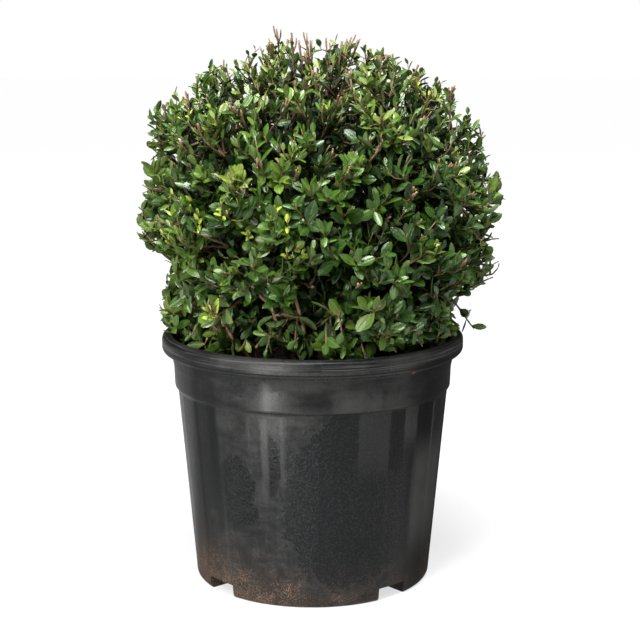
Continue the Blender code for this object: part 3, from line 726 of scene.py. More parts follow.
def barkTube(name, path, radii, looks):
    # a tube whose radius swells and sinks with lengthwise ridges, rings of old buds and slow lumps
    points, quads, foot, end = tubes(path[None], radii[None], stems["sides"])
    rings = len(path)
    ring = points.reshape(rings, stems["sides"], 3)
    centre = path[:, None]
    out = unit(ring - centre)
    length = lengthAlong(path)
    ridges = waves(ring * (1, 1, 0.12), 2600.0, 11) * 0.09
    buds = np.maximum(0, np.sin(length * 620.0 + waves(path, 60.0, 12) * 3)) ** 6 * 0.1
    lumps = waves(ring, 420.0, 13) * 0.07
    relief = (ridges + buds[:, None] + lumps) * np.linspace(1.0, 0.8, rings)[:, None]
    relief[0] = relief[-1] = 0.0
    ring = ring + out * (relief * radii[:, None])[..., None]
    turn = np.arange(stems["sides"]) / stems["sides"]
    uv = np.stack(np.broadcast_arrays(turn, length[:, None] * 20), -1).reshape(-1, 2)
    return makePiece(name, ring.reshape(-1, 3), [(quads, 0), (foot, 0), (end, 0)], looks, uv)


def makeLimbs(masses, looks):
    pieces = []
    heights = np.linspace(stemFoot[2], stemTop[2] + 0.002, 60)
    path, radii = stemAxis(heights[:, None])
    flare = np.maximum(0, 1 - (heights - stemFoot[2]) / stems["flareHeight"]) ** 2 * stems["flare"]
    radii = radii[:, 0] + flare
    radii[-3:] *= (0.97, 0.85, 0.5)          # rounded off at the top
    pieces.append((barkTube("stem_main", path, radii, looks), "main_stem"))
    for mass in masses:
        path = limbPath(mass)
        isSide = mass["name"] == stems["sideMass"]
        first = stems["sideRadius"] if isSide else stems["boughRadius"]
        bough = np.linspace(first, stems["boughTip"], stems["rings"])
        radii = np.concatenate([bough, np.linspace(stems["boughTip"], 0.0012, len(path) - len(bough))])
        node = "side_stem" if isSide else "bough_" + mass["name"]
        mass["limb"] = path
        pieces.append((barkTube("limb_" + mass["name"], path, radii, looks), node))
    return pieces


def barkLook():
    look = Look("grey brown bark")
    place = look.place()
    fibres = look.noise(look.stretch(place, (900.0, 900.0, 120.0)), 1.0, 4.0, 0.65)
    patches = look.noise(place, 160.0, 3.0)
    spots = look.step(look.noise(place, 1100.0, 1.0), 0.66, 0.72)
    colour = look.mix(fibres, (0.055, 0.032, 0.02), (0.215, 0.135, 0.085))
    colour = look.mix(look.step(patches, 0.5, 0.7) * 0.45, colour, (0.17, 0.15, 0.12))
    colour = look.mix(spots * 0.5, colour, (0.34, 0.25, 0.17))
    return look.finish(Base_Color=colour, Roughness=0.72 + (fibres - 0.5) * 0.3,
                       Normal=look.bump(fibres + spots * 0.6, 0.5, 0.0006))


# Foliage: twigs and leaves that grow on from the limbs

twigs = {
    "seed": 20,
    "main": 130, "lowest": -0.86, "elbow": 0.72, "rise": 0.014, "inside": 0.006, "mainRings": 13,
    "shoots": 960, "shootSpan": (0.034, 0.066), "shootRings": 8,
    "sprigs": 2, "sprigLength": (0.016, 0.034), "sprigRings": 4,
    "cutShare": 0.22, "cutAtTop": 0.36,      # of the shoots end in a bare clipped stub
    # radius at the foot and at the tip, sides, and look: older, young, cut or cane
    "wood": {"main": (0.0017, 0.001, 6, 0), "shoot": (0.0012, 0.00062, 4, 0),
             "stub": (0.00108, 0.0009, 6, 0), "prong": (0.00078, 0.0006, 5, 0),
             "stray": (0.0013, 0.0007, 5, 0), "bare": (0.001, 0.0006, 5, 0),
             "cane": (0.002, 0.0014, 7, 3), "low": (0.0011, 0.00065, 5, 0),
             "sprig": (0.0008, 0.00045, 3, 1)},
    # azimuth, elevation and how far past the ball, as in the source
    "longTips": ((-60, 83, 0.01), (40, 78, 0.008), (-90, 7, 0.01), (-84, -14, 0.009),
                 (90, 12, 0.014), (86, -44, 0.016), (178, 10, 0.01), (-4, -4, 0.006)),
    # sprays of young yellow-green growth on the front: azimuth, elevation
    "young": ((-52.7, 14.4), (-53.8, -4.8), (-38.2, -23.6), (-18.3, 1.7), (-11.1, 5.6), (-5.2, -7.3),
              (-46.5, 66.6), (8.7, 40.9), (-59.2, 38.3), (48.9, 40.3), (-32, 8.3), (63.1, -38.6)),
    "youngShare": 0.008,
    # shade shoots inside the ball and round its core: how many, and how far out their tips lie
    "deep": (300, 0.54, 0.76), "core": (150, 0.24, 0.56), "coreSeed": 9, "deepSpan": (0.03, 0.05),
    # clipped branches that end in bare forked stubs: azimuth, elevation
    "stubs": ((-2.5, 50), (-7.4, 59.1), (4.7, 25.5), (-13, 22.5), (-18.7, 21.8), (62, 62), (80, 55),
              (37.6, 57.9), (-6.6, 19.1), (-31.5, 37.2), (-30, 74), (-20, 80), (20, 82), (45, 72),
              (9, 42), (14, 47), (-62, 40), (-50, 26), (30, 12), (48, 20), (12, -14)),
    "moreStubs": 38, "stubSpan": (0.045, 0.07),
    # stray shoots that leave the outline: four points in millimetres for each
    "strays": (((-105, -30, 292), (-138, -30, 306), (-160, -30, 330), (-157, -20, 350)),
               ((-110, -30, 241), (-120, -30, 247), (-130, -20, 253), (-139, -20, 257)),
               ((113, -30, 285), (131, -30, 272), (141, -30, 252), (150, -30, 242))),
    "bareStrays": (((145, -20, 322), (155, -20, 322), (165, -20, 325), (172.6, -20, 325)),
                   ((133, -20, 272), (148, -20, 280), (160, -20, 286), (168, -20, 289))),
    # bare branches that show low down, between the mix and the foliage: four points too
    "canes": (((-45, -60, 209), (-67, -83, 234), (-81, -94, 258), (-96, -84, 290)),
              ((-50, -50, 209), (-73, -74, 232), (-87, -92, 250), (-98, -88, 275)),
              ((20, -55, 209), (34, -92, 240), (34.5, -112, 268), (31, -125, 300)),
              ((30, -85, 262), (38.5, -108, 284), (47, -112, 296), (60, -120, 318)),
              ((55, -70, 209), (56, -102, 243), (49, -112, 262), (40, -122, 285)),
              ((-12, -70, 250), (0, -100, 268), (10, -114, 278), (26, -125, 290)),
              ((0, -60, 209), (-3, -95, 238), (-9, -113, 262), (-16, -124, 292)),
              ((-19, -55, 209), (-25, -90, 236), (-30, -107, 256), (-37, -119, 284)),
              ((-26, -96, 264), (-34, -112, 276), (-42, -121, 284), (-52, -127, 298))),
    # hollows in the ball's surface: azimuth, elevation, half width in degrees, depth as a share
    "hollows": ((1.2, -15.7, 9, 0.3), (11, 34.1, 6.5, 0.2), (-13.7, 37.4, 5.5, 0.2), (-6.2, -32.7, 11, 0.3),
                (-18.7, -27.8, 8, 0.25), (38.2, -21, 6, 0.2), (-34, -42, 9, 0.28), (-2, 20, 5, 0.16),
                (26, 24, 5, 0.16), (-38, 8, 5, 0.14), (28, -6, 5, 0.16), (50, 2, 5, 0.16),
                (-44, 28, 5, 0.14), (60, 30, 5.5, 0.16), (-24, -4, 5, 0.14), (-80, -13, 6.5, 0.15),
                (-86, 10, 5, 0.1), (78, 38, 6.5, 0.14), (84, 20, 5, 0.12), (86, -8, 5, 0.1),
                (84, -26, 5, 0.12), (70, 58, 6, 0.12), (46, 34, 5, 0.16)),
    "moreHollows": 40, "hollowSeed": 31,
    # where shoots stand further apart: azimuth, elevation, half width, share left out
    "thin": ((0, 90, 42, 0.72), (-38, -31, 21, 0.72), (-14, -34, 14, 0.6), (84, 34, 27, 0.76),
             (-84, 30, 24, 0.52), (88, 0, 24, 0.4), (-88, -3, 19, 0.42)),
    # drooping sprays of larger leaves over the front rim: azimuth, elevation, share of the reach
    "low": ((-56, -36, 0.98), (-45, -37, 0.97), (-31, -39, 0.96), (-21, -40, 0.95), (-9, -37, 0.94),
            (3, -35, 0.98), (8, -30, 1), (10, -39, 0.99), (18, -39.5, 1.01), (25, -34, 1),
            (31, -39, 1.01), (38, -33, 1), (44, -38.5, 1.01), (57, -37.5, 1.01), (51, -31, 0.99)),
    "lowGap": (-2, -36, 44, 0.65),           # where shade shoots are left out, over the pot's front rim
    "belowRim": 0.005, "wallClear": 0.012, "mixClear": 0.004,    # room left round the pot
    # where the clipped outline dips or stands out, seen from the front: angle from +X, share of the reach
    "outline": ((-60, 1), (-40, 0.99), (-32, 0.85), (-26, 0.94), (-20, 1.01), (-14, 1.02), (-8, 0.97),
                (-2, 1.04), (10, 1.01), (22, 0.98), (28, 1.03), (34, 1.02), (40, 1), (46, 1.02),
                (53, 0.98), (75, 0.98), (82, 1.02), (88, 0.95), (94, 0.98), (100, 1.06), (106, 1.03),
                (112, 0.97), (118, 0.97), (124, 1.03), (136, 1), (148, 1.06), (160, 0.99), (184, 0.97),
                (190, 0.98), (196, 0.84), (208, 0.94), (215, 1.02), (300, 1)),
}
leaves = {
    # how many on each, and between which shares of its length
    "on": {"shoot": (8, 0.4, 1), "sprig": (6, 0.16, 1), "deep": (7, 0.3, 1), "main": (12, 0.35, 0.92),
           "stub": (5, 0.45, 0.92), "stray": (7, 0.3, 1), "bare": (3, 0.1, 0.5), "cane": (3, 0.6, 1),
           "low": (9, 0.25, 1)},
    "lengthTop": 0.0118, "lengthLow": 0.019, "width": (0.41, 0.59),
    # outline: share of the length, half width as a share of the full width
    "rows": ((0.13, 0.17), (0.38, 0.44), (0.64, 0.475), (0.88, 0.28)),
    "thickness": 0.0003, "fold": 0.2,
    # degrees: from one leaf to the next round its shoot, and away from the shoot, less at its tip
    "turn": 137.5, "spread": (54, 10), "spreadLess": 26,
    "rimClear": 0.004, "rimAbove": 0.0015, "mixClear": 0.001, "past": 1.045,
    # how far inside the clipped surface leaves take painted shade, the near-black shade green and then the
    # deep green, as a share of the reach, and how deep a hollow is, as a share of it, that shade leaves
    # stay out of
    "shadeFrom": 0.155, "deepFrom": 0.11, "hollowFrom": 0.06,
    "toneSteps": (0.28, 0.61, 0.9),
    "lowSizes": (0.8, 1.12),                 # on the left and on the right of the low sprays
}


def goldenBall(count, lowest):
    # even directions: heights in equal steps, each turned on by the golden angle
    k = np.arange(count)
    z = 1 - (1 - lowest) * (k + 0.5) / count
    turn = k * np.pi * (3 - np.sqrt(5))
    flat = np.sqrt(1 - z * z)
    return np.stack([flat * np.sin(turn), -flat * np.cos(turn), z], -1)


def surfaceReach(directions):
    # The ball's reach times the outline's share at the direction's angle as seen from the front. The
    # share counts in full where the ball turns away from the front and fades towards the middle.
    p = camera["pitch"]
    ahead = directions @ np.array([0.0, math.cos(p), -math.sin(p)])
    upward = directions @ np.array([0.0, math.sin(p), math.cos(p)])
    angle = np.degrees(np.arctan2(upward, directions[:, 0]))
    angle = np.where(angle < -60, angle + 360, angle)
    share = np.interp(angle, *np.array(twigs["outline"], float).T)
    atEdge = np.maximum(0, 1 - (ahead + 0.1) ** 2) ** 2
    return crownReach(directions) * (1 + (share - 1) * atEdge)


def bells(directions, places):
    # the highest of flat-topped bells over the angle to each place
    highest = np.zeros(len(directions))
    for azimuth, elevation, width, share in places:
        angle = np.degrees(np.arccos(np.clip(directions @ aimAt(azimuth, elevation), -1, 1)))
        highest = np.maximum(highest, share * np.exp(-(angle / width) ** 4))
    return highest


def hollowPlaces():
    # the listed hollows on the front, and seeded ones on the rest of the ball
    random = np.random.default_rng(twigs["hollowSeed"])
    azimuth = random.uniform(65, 295, twigs["moreHollows"])
    elevation = np.degrees(np.arcsin(random.uniform(-0.7, 0.9, twigs["moreHollows"])))
    width = random.uniform(4.0, 7.5, twigs["moreHollows"])
    return np.vstack([twigs["hollows"], np.column_stack([azimuth, elevation, width, width * 0.028])])


hollows = hollowPlaces()


def keepAbovePot(points):
    # points below the rim are drawn in from the pot's wall, and none is in the mix
    points = points.copy()
    flat = norm(points[..., :2])
    low = points[..., 2] < pot["rimTop"] + twigs["belowRim"]
    room = pot["mouthRadius"] - twigs["wallClear"]
    shrink = np.where(low & (flat > room), room / np.maximum(flat, 1e-6), 1.0)
    points[..., :2] *= shrink[..., None]
    points[..., 2] = np.maximum(points[..., 2], mix["top"] + twigs["mixClear"])
    return points


def ownerOf(masses, directions):
    return np.argmax(directions @ np.array([mass["aim"] for mass in masses]).T, axis=1)


def growth(masses, paths, directions):
    # twigs as whole arrays: path, mass, direction from the crown's middle, young or not, clipped or not
    owner = ownerOf(masses, directions)
    none = np.zeros(len(paths), bool)
    return {"paths": paths, "owner": owner, "tip": directions, "young": none, "cut": none}


def chosen(grown, keep):
    return {name: values[keep] for name, values in grown.items()}


def growMain(masses, random):
    # the source's twigs: each from its mass's limb by an elbow in the core to its tip
    directions = goldenBall(twigs["main"], twigs["lowest"])
    reach = surfaceReach(directions) * (1 + random.uniform(-0.06, -0.01, twigs["main"]))
    azimuth, elevation, past = np.array(twigs["longTips"]).T
    long = aimAt(azimuth, elevation)
    directions = np.vstack([directions, long])
    reach = np.concatenate([reach, surfaceReach(long) + past * 0.4])
    limbs = np.array([mass["limb"][-12:] for mass in masses])[ownerOf(masses, directions)]
    start, along = [found[:, 0] for found in at(limbs, random.uniform(0.15, 1.0, (len(limbs), 1)))]
    elbow = outTo(directions, reach * twigs["elbow"]) - (0, 0, twigs["rise"])
    tip = keepAbovePot(outTo(directions, reach - twigs["inside"]))
    span = norm(elbow - start)[:, None]
    paths = bezier(start, start + along * span * 0.5, keepAbovePot(elbow), tip, twigs["mainRings"])
    paths[:, 1:-1] += random.normal(size=paths[:, 1:-1].shape) * 0.0006
    return growth(masses, paths, directions)


def growFrom(masses, main, directions, tip, span, rings, random, jitter=0.22):
    # twigs to given tips, each out of the nearest main twig of its mass about one span away, that
    # end upwards and outwards
    count = len(directions)
    otherMass = ownerOf(masses, directions)[:, None] != main["owner"][None]
    alike = directions @ main["tip"].T - 10.0 * otherMass
    path = main["paths"][np.argmax(alike + random.uniform(0, 0.012, alike.shape), axis=1)]
    away = random.uniform(*span, count)
    far = np.abs(norm(path[:, 3:-1] - tip[:, None]) - away[:, None])
    far = far + np.maximum(0, path[:, 3:-1, 2] - tip[:, None, 2] + 0.01)
    index = np.argmin(far, axis=1) + 3
    rows = np.arange(count)
    start = path[rows, index]
    along = unit(start - path[rows, index - 1])
    ending = unit(directions * 0.42 + np.array([0, 0, 0.95]) + random.normal(size=(count, 3)) * jitter)
    length = norm(tip - start)[:, None]
    leaving = unit(along + unit(tip - start))
    paths = bezier(start, start + leaving * length * 0.35, tip - ending * length * 0.38, tip, rings)
    return growth(masses, paths, directions)


def growShoots(masses, main, random):
    # shoots with tips all over the surface; some lie deeper, some stand out, and many are clipped
    count = twigs["shoots"]
    directions = unit(goldenBall(count, -0.8) + random.normal(size=(count, 3)) * 0.034)
    young = np.zeros(count, bool)
    for azimuth, elevation in twigs["young"]:
        young[np.argmax(directions @ aimAt(azimuth, elevation))] = True
    young |= random.uniform(size=count) < twigs["youngShare"]
    kind = random.choice(3, count, p=[0.62, 0.18, 0.2])
    # of the reach: just under the surface, deeper, or standing out
    depths = [random.uniform(low, high, count) for low, high in ((-0.11, 0.0), (-0.2, -0.08), (0.0, 0.05))]
    depth = np.where(young, random.uniform(0.0, 0.02, count), np.choose(kind, depths))
    reach = surfaceReach(directions) * (1 + depth - bells(directions, hollows))
    tip = keepAbovePot(outTo(directions, reach))
    grown = growFrom(masses, main, directions, tip, twigs["shootSpan"], twigs["shootRings"], random)
    share = np.where(directions[:, 2] > 0.6, twigs["cutAtTop"], twigs["cutShare"])
    grown["cut"] = (random.uniform(size=count) < share) & ~young & (kind != 1)
    grown["young"] = young
    return chosen(grown, (random.uniform(size=count) > bells(directions, twigs["thin"])) | young)


def growDeep(masses, main, random, count, near, far):
    # shade shoots that fill the ball behind its surface
    directions = unit(goldenBall(count, -0.75) + random.normal(size=(count, 3)) * 0.05)
    reach = crownReach(directions) * random.uniform(near, far, count)
    tip = keepAbovePot(outTo(directions, reach))
    grown = growFrom(masses, main, directions, tip, twigs["deepSpan"], twigs["shootRings"], random, 0.4)
    return chosen(grown, random.uniform(size=count) > bells(directions, [twigs["lowGap"]]))


def growStubs(masses, main, random):
    # clipped branches: thicker shoots that stand upright and end bare, each with two prongs
    extra = goldenBall(twigs["moreStubs"], -0.1) + random.normal(size=(twigs["moreStubs"], 3)) * 0.06
    directions = unit(np.vstack([aimAt(*np.array(twigs["stubs"]).T), extra]))
    count = len(directions)
    reach = surfaceReach(directions) * random.uniform(0.985, 1.025, count)
    tip = outTo(directions, reach) + np.array([0, 0, 0.006]) * (directions[:, 2:] > 0.7)
    branches = growFrom(masses, main, directions, tip, twigs["stubSpan"], 10, random, 0.25)
    start, along = at(branches["paths"], random.uniform(0.66, 0.84, (count, 2)))
    lean = np.radians(random.uniform(14, 32, (count, 2, 1)))
    aside = random.normal(size=(count, 1, 3)) * np.array([1.0, -1.0])[None, :, None]
    ending = leaning(along, squareTo(aside, along), lean)
    length = random.uniform(0.008, 0.017, (count, 2, 1))
    end = start + (ending * 0.6 + along * 0.4) * length
    points = (start, start + ending * length * 0.4, end - along * length * 0.4, end)
    prongs = bezier(*[values.reshape(-1, 3) for values in points], 5)
    forks = growth(masses, prongs, np.repeat(directions, 2, axis=0))
    for grown in (branches, forks):
        grown["cut"] = ~grown["cut"]
    return branches, forks


def growListed(masses, listed):
    # branches through four given points each
    points = np.array(listed) / 1000
    return growth(masses, bezier(*points.transpose(1, 0, 2), 12), unit(points[:, 3] - crownMiddle))


def growLow(masses, random):
    # sprays that arch out of the ball and droop to the pot's rim
    azimuth, elevation, share = np.array(twigs["low"]).T
    direction = aimAt(azimuth, elevation)
    tip = outTo(direction, surfaceReach(direction) * share)
    inner = aimAt(azimuth + random.uniform(-8, 8, len(azimuth)), elevation + 2.0)
    start = outTo(inner, surfaceReach(inner) * 0.5)
    flat = unit(direction * (1, 1, 0))
    paths = bezier(start, start + flat * 0.024 + (0, 0, 0.008), tip - flat * 0.012 + (0, 0, 0.014), tip, 10)
    return growth(masses, paths, direction)


def growSprigs(shoots, random):
    # side sprigs: each leaves its shoot at 35 to 60 degrees and bends outwards and up
    parents = {name: np.repeat(values, twigs["sprigs"], axis=0) for name, values in shoots.items()}
    count = len(parents["paths"])
    start, along = [found[:, 0] for found in at(parents["paths"], random.uniform(0.38, 0.86, (count, 1)))]
    outward = unit(start - crownMiddle)
    aside = random.normal(size=(count, 3)) + outward * 0.3
    lean = np.radians(random.uniform(35, 60, (count, 1)))
    first = leaning(along, squareTo(aside, along), lean)
    length = random.uniform(*twigs["sprigLength"], (count, 1))
    last = unit(first * 0.5 + outward * 0.4 + np.array([0, 0, 0.6]) + random.normal(size=(count, 3)) * 0.15)
    end = start + (first + last) * 0.5 * length
    out = end - crownMiddle
    direction = unit(out)
    most = surfaceReach(direction) * (1.0 - bells(direction, hollows)) + 0.002
    end = keepAbovePot(outTo(direction, np.minimum(norm(out), most)))
    points = start, start + first * length * 0.35, end - last * length * 0.3, end
    paths = bezier(*points, twigs["sprigRings"])
    cut = random.uniform(size=count) < twigs["cutShare"] * 0.5
    return {**parents, "paths": paths, "tip": direction, "cut": cut}


def growLeaves(shoots, sort, random, stray=False, lift=0.22, larger=1.0, face=1.0):
    # Leaves up a shoot, each turned on by the golden angle. Its axis leans away from the shoot by
    # its spread, and its upper face looks to the shoot's tip, then turns a little to the light.
    onEach, low, high = leaves["on"][sort]
    count = len(shoots["paths"])
    grid = count, onEach
    share = np.linspace(low, high, onEach)[None] + random.uniform(-0.03, 0.03, grid)
    share = np.where(shoots["cut"][:, None], low + (share - low) * 0.8, share)
    root, along = at(shoots["paths"], np.clip(share, 0.02, 0.995))
    k = np.arange(onEach)
    toTip = (k / (onEach - 1))[None]
    turn = random.uniform(0, 2 * np.pi, (count, 1)) + k * np.radians(leaves["turn"])
    turn = turn + random.normal(size=grid) * 0.2
    helper = np.where(np.abs(along[..., 2:]) > 0.9, np.array([1.0, 0, 0]), np.array([0, 0, 1.0]))
    side = unit(np.cross(along, helper))
    out = leaning(side, np.cross(side, along), turn[..., None])
    spread = random.normal(*leaves["spread"], grid) - leaves["spreadLess"] * toTip ** 3
    spread = np.radians(spread)[..., None]
    axis = unit(leaning(along, out, spread) + np.array([0, 0, lift]))
    normal = along * np.sin(spread) - out * np.cos(spread)
    light = unit(unit(root - crownMiddle) * 0.75 + np.array([0, 0, 0.6]))
    normal = normal + light * face * random.uniform(0.1, 0.9, (*grid, 1))
    normal = normal + random.normal(size=root.shape) * 0.22
    normal = squareTo(normal, axis)
    # small at the top of the ball and towards a shoot's tip, smaller yet where they are young
    height = (root[..., 2] - mix["top"]) / (2 * crown["height"])
    height = np.clip(height * 1.25 - 0.1, 0, 1)
    size = leaves["lengthLow"] + (leaves["lengthTop"] - leaves["lengthLow"]) * height
    size = larger * size * random.normal(1.0, 0.12, (count, 1)) * random.uniform(0.78, 1.16, grid)
    size = size * (1 - 0.4 * toTip ** 4)
    late = shoots["young"][:, None] & (toTip > 0.4)
    size = np.where(late, size * 0.58, size)
    grown = {"root": root, "axis": axis, "normal": normal, "size": size, "late": late,
             "owner": shoots["owner"][:, None] + 0 * k, "shoot": np.arange(count)[:, None] + 0 * k}
    grown = {name: values.reshape(-1, *values.shape[2:]) for name, values in grown.items()}
    # no leaf reaches into the pot's rim, past the clipped surface or into the mix
    tip = grown["root"] + grown["axis"] * grown["size"][:, None]
    low = tip[:, 2] < pot["rimTop"] + leaves["rimAbove"]
    inRim = low & (norm(tip[:, :2]) > pot["mouthRadius"] - leaves["rimClear"])
    out = tip - crownMiddle
    tooFar = (norm(out) > surfaceReach(unit(out)) * leaves["past"]) & (not stray)
    return chosen(grown, ~inRim & ~tooFar & (tip[:, 2] > mix["top"] + leaves["mixClear"]))


def leafTemplate():
    # Two lens-shaped faces that share the leaf's edge. Points: root, tip, left and right edge, the
    # upper midrib and the lower midrib, each row at its share of the length.
    rows = np.array(leaves["rows"])
    n = len(rows)
    x, half = rows[:, 0], rows[:, 1]
    zero = np.zeros(n)
    lines = [np.column_stack([x, y, zero]) for y in (half, -half, zero, zero)]
    points = np.vstack([[0, 0, 0], [1, 0, 0], *lines])
    isUnder = np.concatenate([np.zeros(2 + 3 * n), np.ones(n)])
    left, right, upper, lower = [2 + n * k + np.arange(n) for k in range(4)]
    quads, tris = [], []
    for middle, flip in ((upper, 1), (lower, -1)):
        a = np.stack([middle[:-1], middle[1:], left[1:], left[:-1]], -1)
        b = np.stack([right[:-1], right[1:], middle[1:], middle[:-1]], -1)
        quads.append(np.vstack([a, b])[:, ::flip])
        ends = [(0, middle[0], left[0]), (0, right[0], middle[0]),
                (1, left[-1], middle[-1]), (1, middle[-1], right[-1])]
        tris.append(np.array(ends)[:, ::flip])
    return points, isUnder, quads, tris


def leafPoints(grown, random):
    # point = root + axis x length + side x width + normal x (fold x distance from the midrib, less
    # the curl x length squared), so that a leaf is a shallow trough that droops to its tip
    template, isUnder, quads, tris = leafTemplate()
    count = len(grown["root"])
    width = random.uniform(*leaves["width"], (count, 1))
    fold = leaves["fold"] * random.uniform(0.2, 1.8, (count, 1))
    curl = random.normal(0.1, 0.12, (count, 1))
    x, y = template[:, 0], template[:, 1] * width
    z = fold * np.abs(y) * 1.2 - curl * x * x - isUnder * leaves["thickness"] / grown["size"][:, None]
    side = np.cross(grown["normal"], grown["axis"])
    size = grown["size"][:, None, None]
    points = (grown["root"][:, None] + grown["axis"][:, None] * (x[None, :, None] * size)
              + side[:, None] * (y[..., None] * size) + grown["normal"][:, None] * (z[..., None] * size))
    return points, quads, tris, template


def makeLeaves(name, grown, looks, random):
    # looks: the upper faces' greens, then the paler under faces'. A spray takes one green.
    points, quads, tris, template = leafPoints(grown, random)
    count, each = points.shape[:2]
    start = (np.arange(count) * each)[:, None, None]
    greens = len(looks) // 2
    sets = []
    for face in range(2):
        for tone in range(greens):
            mine = start[grown["tone"] == tone]
            slot = tone + greens * face
            sets.append(((quads[face][None] + mine).reshape(-1, 4), slot))
            sets.append(((tris[face][None] + mine).reshape(-1, 3), slot))
    uv = np.tile(np.column_stack([template[:, 1] + 0.5, template[:, 0]]), (count, 1))
    sets = [pair for pair in sets if len(pair[0])]
    made = makePiece(name, points.reshape(-1, 3), sets, looks, uv)
    # the leaf's rim and both midribs stay sharp
    rows = len(leaves["rows"])
    mesh = made.data
    ends = np.empty(len(mesh.edges) * 2, np.int32)
    mesh.edges.foreach_get("vertices", ends)
    ends = ends.reshape(-1, 2) % each
    kind = np.where(ends < 2, 0, (ends - 2) // rows + 1)
    rim = (kind <= 2).all(1)
    ribs = ((kind == 3) | (kind == 0)).all(1) | ((kind == 4) | (kind == 0)).all(1)
    sharp = mesh.attributes.new("sharp_edge", "BOOLEAN", "EDGE")
    sharp.data.foreach_set("value", rim | ribs)
    return made


def leafLook(name, colour, rib, rough, shine):
    # across the leaf, u runs from 0 to 1 with the midrib at 0.5
    look = Look(name)
    place = look.place()
    off = abs(look.apart(look.uv())[0] - 0.5)
    mottle = look.noise(place, 190.0, 2.0)
    broad = look.noise(place, 28.0, 1.0)
    dark, darker, light = [[part * c for c in colour] for part in (0.74, 0.62, 1.22)]
    shade = look.mix(look.step(mottle, 0.3, 0.7), dark, light)
    shade = look.mix(look.step(broad, 0.35, 0.65) * 0.35, shade, darker)
    shade = look.mix(look.step(off, 0.045, 0.012) * 0.5, shade, rib)
    # each half of the leaf bulges between midrib and margin
    belly = off * off * -7.0 + look.noise(place, 420.0, 2.0) * 0.25
    return look.finish(Base_Color=shade, Roughness=rough + (mottle - 0.5) * 0.16,
                       Normal=look.bump(belly, 0.8, 0.0012), Specular_IOR_Level=shine)


leafTones = {
    # upper colour, midrib colour, roughness, shine
    "deep": ((0.0165, 0.044, 0.0052), (0.05, 0.098, 0.022), 0.29, 0.3),
    "mid": ((0.034, 0.075, 0.0078), (0.09, 0.152, 0.032), 0.3, 0.33),
    "fresh": ((0.063, 0.113, 0.012), (0.146, 0.204, 0.046), 0.32, 0.33),
    "olive": ((0.09, 0.127, 0.0155), (0.178, 0.214, 0.056), 0.35, 0.31),
    "young": ((0.23, 0.31, 0.03), (0.3, 0.37, 0.06), 0.4, 0.3),
    # shade: painted shade, near black, for leaves inside the ball
    "shade": ((0.004, 0.0125, 0.0016), (0.014, 0.03, 0.006), 0.45, 0.1),
}


def leafLooks():
    tops, unders = [], []
    for name, (colour, rib, rough, shine) in leafTones.items():
        tops.append(leafLook("leaf " + name, colour, rib, rough, shine))
        pale = [c * 0.65 + 0.35 * d for c, d in zip(colour, (0.11, 0.155, 0.05))]
        unders.append(leafLook("leaf under " + name, pale, rib, 0.58, shine * 0.6))
    return tops + unders


def dealTones(shoots, random):
    # one green a spray: paler up and to the left, deeper down and to the right
    d = shoots["tip"]
    up = np.maximum(0, d[:, 2])
    paleness = 0.45 + 0.04 * d[:, 2] + 0.27 * up * up - 0.15 * d[:, 0] + random.normal(size=len(d)) * 0.25
    return np.digitize(paleness, leaves["toneSteps"])


def makeTwigs(name, owner, sets, looks):
    # all the twigs of one mass in one mesh: bark, and pale cut faces. A clipped twig keeps most of
    # its thickness up to the cut.
    points, faces, start = [], [], 0
    for twigSet, sort in sets:
        foot, end, sides, slot = twigs["wood"][sort]
        grown = chosen(twigSet, twigSet["owner"] == owner)
        paths, cut = grown["paths"], grown["cut"]
        if not len(paths):
            continue
        last = np.where(cut, foot * 0.82, end)[:, None]
        rings = np.arange(paths.shape[1])
        taper = foot + (last - foot) * np.linspace(0, 1, len(rings))[None]
        knobs = np.sin(np.arange(len(paths))[:, None] * 2.4 + rings * 2.3)
        found, quads, foots, ends = tubes(paths, taper * (1 + 0.16 * knobs), sides)
        for part, number in ((quads, slot), (foots, slot), (ends[cut], 2), (ends[~cut], slot)):
            faces.append((part + start, number))
        points.append(found)
        start += len(found)
    return makePiece(name, np.vstack(points), [pair for pair in faces if len(pair[0])], looks)


def twigLook(name, dark, light, pale):
    look = Look(name)
    place = look.place()
    fine = look.noise(place, 1300.0, 3.0, 0.65)
    broad = look.noise(place, 90.0, 2.0)
    colour = look.mix(look.step(fine, 0.3, 0.7), dark, light)
    colour = look.mix(look.step(broad, 0.5, 0.7) * 0.6, colour, pale)
    return look.finish(Base_Color=colour, Roughness=0.7 + (fine - 0.5) * 0.3, Specular_IOR_Level=0.25,
                       Normal=look.bump(fine, 0.4, 0.0005))


# Floor, sky and lamps

studio = {
    "sky": 0.07,
    "lamps": (
        # name, azimuth, elevation, distance, height aimed at, width, height, watts, spread in degrees
        ("key", -26.0, 40.0, 1.9, 0.25, 0.6, 0.6, 53.0, 180.0),
        ("card", -29.5, 0.0, 0.5, 0.12, 0.036, 0.23, 0.48, 70.0),
        ("top", 0.0, 72.0, 1.7, 0.25, 0.7, 0.7, 83.0, 180.0),
        ("fill", 42.0, 44.0, 1.9, 0.25, 0.8, 0.8, 20.0, 180.0),
        ("backLeft", -118.0, 56.0, 1.7, 0.25, 0.4, 0.8, 12.0, 180.0),
        ("backRight", 140.0, 60.0, 1.7, 0.25, 0.4, 0.8, 7.0, 180.0),
    ),
}


